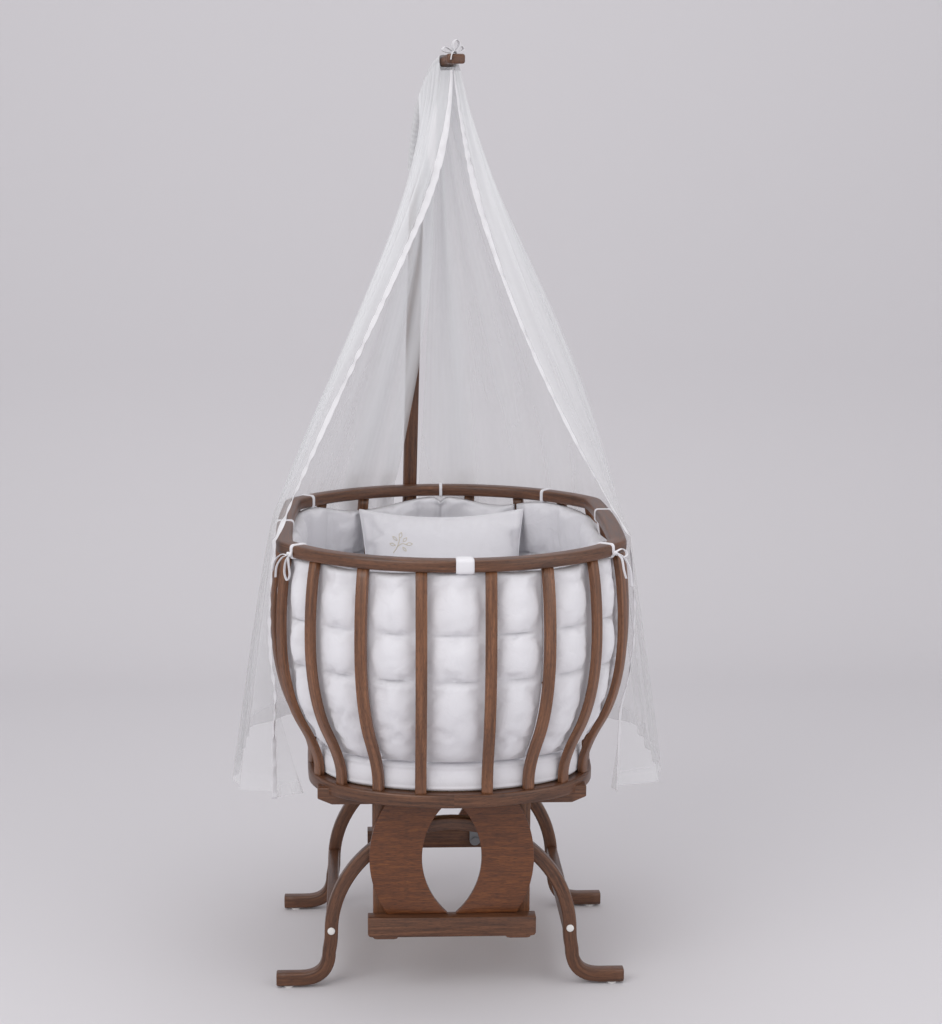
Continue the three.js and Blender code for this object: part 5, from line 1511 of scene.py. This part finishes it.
class CRADLE_OT_sleeve(bpy.types.Operator):
    """Gather the tulle in tight rings on the bend of the mast"""
    bl_idname = "cradle.sleeve"
    bl_label = "Gathered sleeve"

    def execute(self, context):
        steps = 140
        points, uvs, faces = [], [], []
        for i in range(steps + 1):
            angle = SLEEVE_LOW + (SLEEVE_HIGH - SLEEVE_LOW) * i / steps
            # Rings of gathers up to 1.8 mm high, no two alike
            gather = 0.9 + 0.9 * math.sin(i * 1.9) * math.sin(i * 0.77 + 1)
            grown = 2 * (2.6 + gather)
            corners = rounded_rectangle(MAST_WIDTH + grown, MAST_THICKNESS + grown, 6, 4)
            # From one edge of the strip round the mast to the other, both on its inner face
            face = (MAST_THICKNESS + grown) / 2
            section = [(-0.5, face)] + corners[5:] + corners[:5] + [(0.5, face)]
            points += mast_ring(mast_bend(angle), angle, section)
            uvs += [(i * 0.0025, j * 0.005) for j in range(len(section))]
        stride = len(points) // (steps + 1)
        for i in range(steps):
            for j in range(stride - 1):
                a = i * stride + j
                faces.append((a, a + 1, a + stride + 1, a + stride))
        sleeve = mesh_object("gathered_sleeve", points, faces, uvs)
        gathered_layers = 9.0
        add_uv_layer(sleeve.data, "density", [(gathered_layers, 0.0)] * len(points))
        add_piece(sleeve, "carriage", "tulle", "bobbin tulle", "canopy_sleeve")
        return {"FINISHED"}


class CRADLE_OT_canopy(bpy.types.Operator):
    """Hang both halves of the canopy from the sleeve over the rim"""
    bl_idname = "cradle.canopy"
    bl_label = "Canopy"

    def execute(self, context):
        for side_name, side in SIDES:
            half = canopy_half(f"canopy_{side_name}_half", side)
            add_piece(half, "carriage", "tulle", "bobbin tulle", f"canopy_{side_name}")
        return {"FINISHED"}


class CRADLE_OT_canopy_ribbon(bpy.types.Operator):
    """Sew the satin ribbon along both front edges, slightly ruffled"""
    bl_idname = "cradle.canopy_ribbon"
    bl_label = "Canopy ribbon"

    def execute(self, context):
        full = millimetres(sizes().ribbon_width)
        # How much of its width each ribbon shows where it hangs edge on
        narrow = {-1: 0.66, 1: 0.45}

        def station(hand, v):
            here = canopy_point(hand, 0, v)
            before = canopy_point(hand, 0, max(0, v - 0.01))
            line = (canopy_point(hand, 0, min(1, v + 0.01)) - before).normalized()
            forward = here - canopy_point(hand, FIRST_FOLD, v)
            forward = (forward - line * forward.dot(line)).normalized()
            face = forward.cross(line) * hand
            # The ribbon shows its full width a fifth of the way down, more so on the left
            spread = math.exp(-((v - 0.2) / 0.09) ** 2) * (0.6 + 0.4 * (hand < 0))
            width = full * (narrow[hand] + (1.1 - narrow[hand]) * spread)
            width *= 0.55 + 0.45 * min(1.0, v / 0.1)
            ruffle = 1.2 * math.sin(150 * v + hand) * fbm(9 * v, hand, 0.5)
            twist = 0.9 * fbm(22 * v, 3.0 * hand, 2.5) + 0.25 * math.sin(280 * v + 2 * hand)
            twist *= min(1.0, 8 * v) * (1 - 0.6 * spread)
            across = (forward + face * twist).normalized()
            normal = (face - forward * twist).normalized()
            return here + forward * (width / 2 + SEAT) + face * ruffle, across, normal, width

        down = spaced(0, 1, 301)
        left = [station(-1, v) for v in down][::-1]
        right = [station(1, v) for v in down]
        middle = (left[-1][0] + right[0][0]) / 2 + Vector((0, 0, 3))
        crossing = (middle, TOWARDS, UP, full)
        thickness = 1.6
        trim = ribbon("canopy_ribbon", left + [crossing] + right, thickness)
        add_piece(trim, "carriage", "satin", "polyester satin", "canopy_trim")
        return {"FINISHED"}


class CRADLE_OT_tip_bow(bpy.types.Operator):
    """Tie a small bow of satin on the tip of the mast"""
    bl_idname = "cradle.tip_bow"
    bl_label = "Tip bow"

    def execute(self, context):
        top = mast_bend(90) + UP * (MAST_THICKNESS / 2 + 3.2) + TOWARDS * 2
        # Three loops and a tail, as distances along, out and up
        loops = (
            ((0, 0, 0), (-4, 2, 9), (-5, 3, 20), (2, 3, 27), (9, 2, 20), (6, 1, 9), (0, 0, 0)),
            ((0, 0, 0), (-10, 0, 7), (-20, -3, 12), (-26, -4, 6), (-16, -2, 1), (0, 0, 0)),
            ((0, 0, 0), (5, 0, 9), (13, 2, 14), (18, 3, 8), (10, 2, 2), (0, 0, 0)),
            ((0, 2, 0), (-6, 8, 3), (-12, 12, -4), (-14, 13, -14)),
        )
        parts = [strip(f"bow_{i}", top, ACROSS, TOWARDS, spots, 15, 1.0)
                 for i, spots in enumerate(loops)]
        bow = merged("tip_bow", parts)
        add_piece(bow, "carriage", "satin", "polyester satin")
        return {"FINISHED"}


# Ties

def strip(name, origin, along, out, spots, width, thickness):
    """A narrow ribbon through spots given as distances along, out and up from the origin."""
    path = smooth_path([origin + along * a + out * o + UP * z for a, o, z in spots])
    stations = []
    for i, point in enumerate(path):
        tangent = (path[min(len(path) - 1, i + 1)] - path[max(0, i - 1)]).normalized()
        across = (out - tangent * out.dot(tangent)).normalized()
        stations.append((point, across, tangent.cross(across), width))
    return ribbon(name, stations, thickness)


def band_object(name, place, width):
    """A flat band round the rim."""
    middle = RIM.distance(place)
    rings = []
    last = 6
    for i in range(last + 1):
        share = i / last - 0.5
        ring = []
        lift = SEAT + TIE_THICKNESS + (0.5 if 0 < i < last else 0)
        section = rounded_rectangle(RIM_WIDTH + 2 * lift, RIM_HEIGHT + 2 * lift, 7, 4)
        for a, b in section:
            spot, _ = RIM.at(middle + share * width, RIM_WIDTH / 2 - a)
            ring.append(at(spot.x, spot.y, RIM_LOW + RIM_HEIGHT / 2 + b))
        rings.append(ring)
    return sweep(name, rings)


# Loops and tails of the two bows, as distances along the rim, outwards and up
BOW_STRIPS = {
    "left_front": (
        ((0, 3, -8), (-6, 6, -22), (-9, 6, -42), (0, 6, -54), (7, 7, -40), (5, 6, -20), (0, 3, -8)),
        ((2, 3, -6), (14, 8, -12), (26, 12, -30), (30, 12, -52)),
        ((2, 3, -6), (18, 6, -6), (34, 10, -20), (40, 12, -40))),
    "right_front": (
        ((0, 3, 0), (-10, 10, 4), (-18, 16, -6), (-10, 12, -12), (0, 3, -4)),
        ((-2, 3, -4), (-8, 12, -10), (-14, 20, -24), (-16, 26, -40), (-18, 28, -70)),
        ((-2, 3, -4), (-2, 14, -14), (0, 20, -34), (-6, 22, -52))),
}


def bow_objects(name, place, width):
    """A knot with loops and tails on the rim's outer face."""
    spot, out = RIM.at(RIM.distance(place), -(SEAT + TIE_THICKNESS + width / 2 - 0.6))
    origin = Vector((spot.x, spot.y, RIM_LOW + RIM_HEIGHT / 2))
    along, out = Vector((out.y, -out.x, 0)), Vector((out.x, out.y, 0))
    parts = [strip(f"{name}_{i}", origin, along, out, spots, width * 0.7, 1.2)
             for i, spots in enumerate(BOW_STRIPS[name])]
    knot = [origin + out * (2.5 * math.cos(a)) + along * (3.5 * math.sin(a))
            + UP * (2 * math.sin(2 * a) - 4) for a in spaced(0, 2 * math.pi, 13)[:-1]]
    parts.append(tube(f"{name}_knot", [at(*p) for p in knot], 3.4, closed=True))
    return parts


class CRADLE_OT_ties(bpy.types.Operator):
    """Tie the bumpers and the canopy to the rim"""
    bl_idname = "cradle.ties"
    bl_label = "Ties"

    def execute(self, context):
        narrow = millimetres(sizes().tie_width)
        for name, place in TIES.items():
            width = millimetres(sizes().strap_width) if name == "front" else narrow
            parts = [band_object(f"band_{name}", place, width)]
            if name in BOW_STRIPS:
                parts += bow_objects(name, place, narrow)
            add_piece(merged(f"rim_tie_{name}", parts), "carriage", "cotton",
                      "cotton sheeting", f"tie_{name}")
        add_piece(band_object("rim_tie_right", THIN_TIE, THIN_TIE_WIDTH), "carriage", "cotton",
                  "cotton sheeting")
        return {"FINISHED"}


# Pieces kept from the frame

class CRADLE_OT_fittings(bpy.types.Operator):
    """Give the frame's own metal, plastic and plywood pieces their finishes"""
    bl_idname = "cradle.fittings"
    bl_label = "Fittings"

    def execute(self, context):
        corners = [f"{end}_{side}" for end, _ in ENDS for side, _ in SIDES]
        kept = {"zinc-plated steel": ["mast_bolt_upper", "mast_bolt_lower"],
                "moulded ABS": [f"glide_{corner}" for corner in corners],
                "birch plywood": ["base_board"]}
        for kind in ("link", "upper_pin", "lower_pin"):
            kept["zinc-plated steel"] += [f"{kind}_{corner}" for corner in corners]
        for finish_name, names in kept.items():
            for name in names:
                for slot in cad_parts[name].material_slots:
                    slot.material = finish(finish_name)
        return {"FINISHED"}


# Stage

class CRADLE_OT_stage(bpy.types.Operator):
    """Set up the pale sweep of paper, the soft lamps and the camera"""
    bl_idname = "cradle.stage"
    bl_label = "Stage"

    def execute(self, context):
        scene = context.scene
        # The paper lies flat, bends up behind the cradle and rises as a wall. In metres.
        front, back, bend, height, half_width = -3.0, 2.2, 0.9, 5.0, 6.0
        path = [(front, 0.0), (back, 0.0)]
        path += [(back + bend * math.sin(a), bend - bend * math.cos(a))
                 for a in spaced(0, math.pi / 2, 13)[1:]]
        path.append((back + bend, height))
        points = [(x, y, z) for y, z in path for x in (-half_width, half_width)]
        faces = [(2 * i, 2 * i + 1, 2 * i + 3, 2 * i + 2) for i in range(len(path) - 1)]
        floor = mesh_object("studio_sweep", points, faces)
        floor.data.materials.append(finish("coated paper"))

        world = bpy.data.worlds.new("studio")
        world.use_nodes = True
        background = world.node_tree.nodes["Background"]
        background.inputs["Color"].default_value = linear("#f3f1f4")
        background.inputs["Strength"].default_value = 0.72
        scene.world = world

        # Place and size in metres, and power in watts
        lamps = {"key": ((-2.2, -3.0, 3.0), 3.0, 66.0), "fill": ((3.0, -2.4, 1.8), 3.0, 30.0),
                 "top": ((0.3, 0.2, 4.2), 3.0, 34.0)}
        lit = Vector((0, 0, 0.7))
        for name, (place, size, power) in lamps.items():
            data = bpy.data.lights.new(name, "AREA")
            data.size = size
            data.energy = power
            lamp = bpy.data.objects.new(name, data)
            lamp.location = place
            aim = lit - Vector(place)
            lamp.rotation_euler = aim.to_track_quat("-Z", "Y").to_euler()
            scene.collection.objects.link(lamp)

        data = bpy.data.cameras.new("camera")
        data.sensor_fit = "VERTICAL"
        data.sensor_height = 36.0
        data.lens = 77.34
        data.clip_end = 50.0
        camera = bpy.data.objects.new("camera", data)
        scene.collection.objects.link(camera)
        # The photo's viewpoint, direction and roll, fitted to the rim, the feet and the mast
        viewpoint, roll = (-0.16717, -4.44659, 1.69918), 0.0045898
        forward = Vector((0.0477, 0.9841, -0.1712)).normalized()
        turn = forward.to_track_quat("-Z", "Y").to_matrix() @ Matrix.Rotation(roll, 3, "Z")
        camera.matrix_world = Matrix.Translation(viewpoint) @ turn.to_4x4()
        scene.camera = camera
        scene.view_settings.view_transform = "Standard"
        return {"FINISHED"}


class CRADLE_PT_pieces(bpy.types.Panel):
    """Lists the cradle's pieces, sizes and colours"""
    bl_idname = "CRADLE_PT_pieces"
    bl_label = "Rocking cradle"
    bl_space_type = "VIEW_3D"
    bl_region_type = "UI"
    bl_category = "Cradle"

    def draw(self, context):
        column = self.layout.column(align=True)
        for operator in OPERATORS:
            column.operator(operator.bl_idname)
        for group in (context.scene.cradle_sizes, context.scene.cradle_colours):
            box = self.layout.box()
            for name in type(group).__annotations__:
                box.prop(group, name)


# In the order in which main calls them
OPERATORS = (
    CRADLE_OT_stage, CRADLE_OT_bentwood_legs, CRADLE_OT_rails, CRADLE_OT_bolt_caps,
    CRADLE_OT_lower_bars, CRADLE_OT_uprights, CRADLE_OT_end_panels, CRADLE_OT_basket_bearers,
    CRADLE_OT_slats, CRADLE_OT_hoops, CRADLE_OT_mast, CRADLE_OT_mattress, CRADLE_OT_bumpers,
    CRADLE_OT_pillow, CRADLE_OT_sleeve, CRADLE_OT_canopy, CRADLE_OT_canopy_ribbon,
    CRADLE_OT_tip_bow, CRADLE_OT_ties, CRADLE_OT_fittings,
)
CLASSES = (CradleSizes, CradleColours) + OPERATORS + (CRADLE_PT_pieces,)


def register():
    for cls in CLASSES:
        bpy.utils.register_class(cls)
    bpy.types.Scene.cradle_sizes = PointerProperty(type=CradleSizes)
    bpy.types.Scene.cradle_colours = PointerProperty(type=CradleColours)


def unregister():
    del bpy.types.Scene.cradle_colours
    del bpy.types.Scene.cradle_sizes
    for cls in reversed(CLASSES):
        bpy.utils.unregister_class(cls)


def main():
    """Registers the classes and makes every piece."""
    register()
    for operator in OPERATORS:
        group, name = operator.bl_idname.split(".")
        getattr(getattr(bpy.ops, group), name)()


if __name__ == "__main__":
    main()
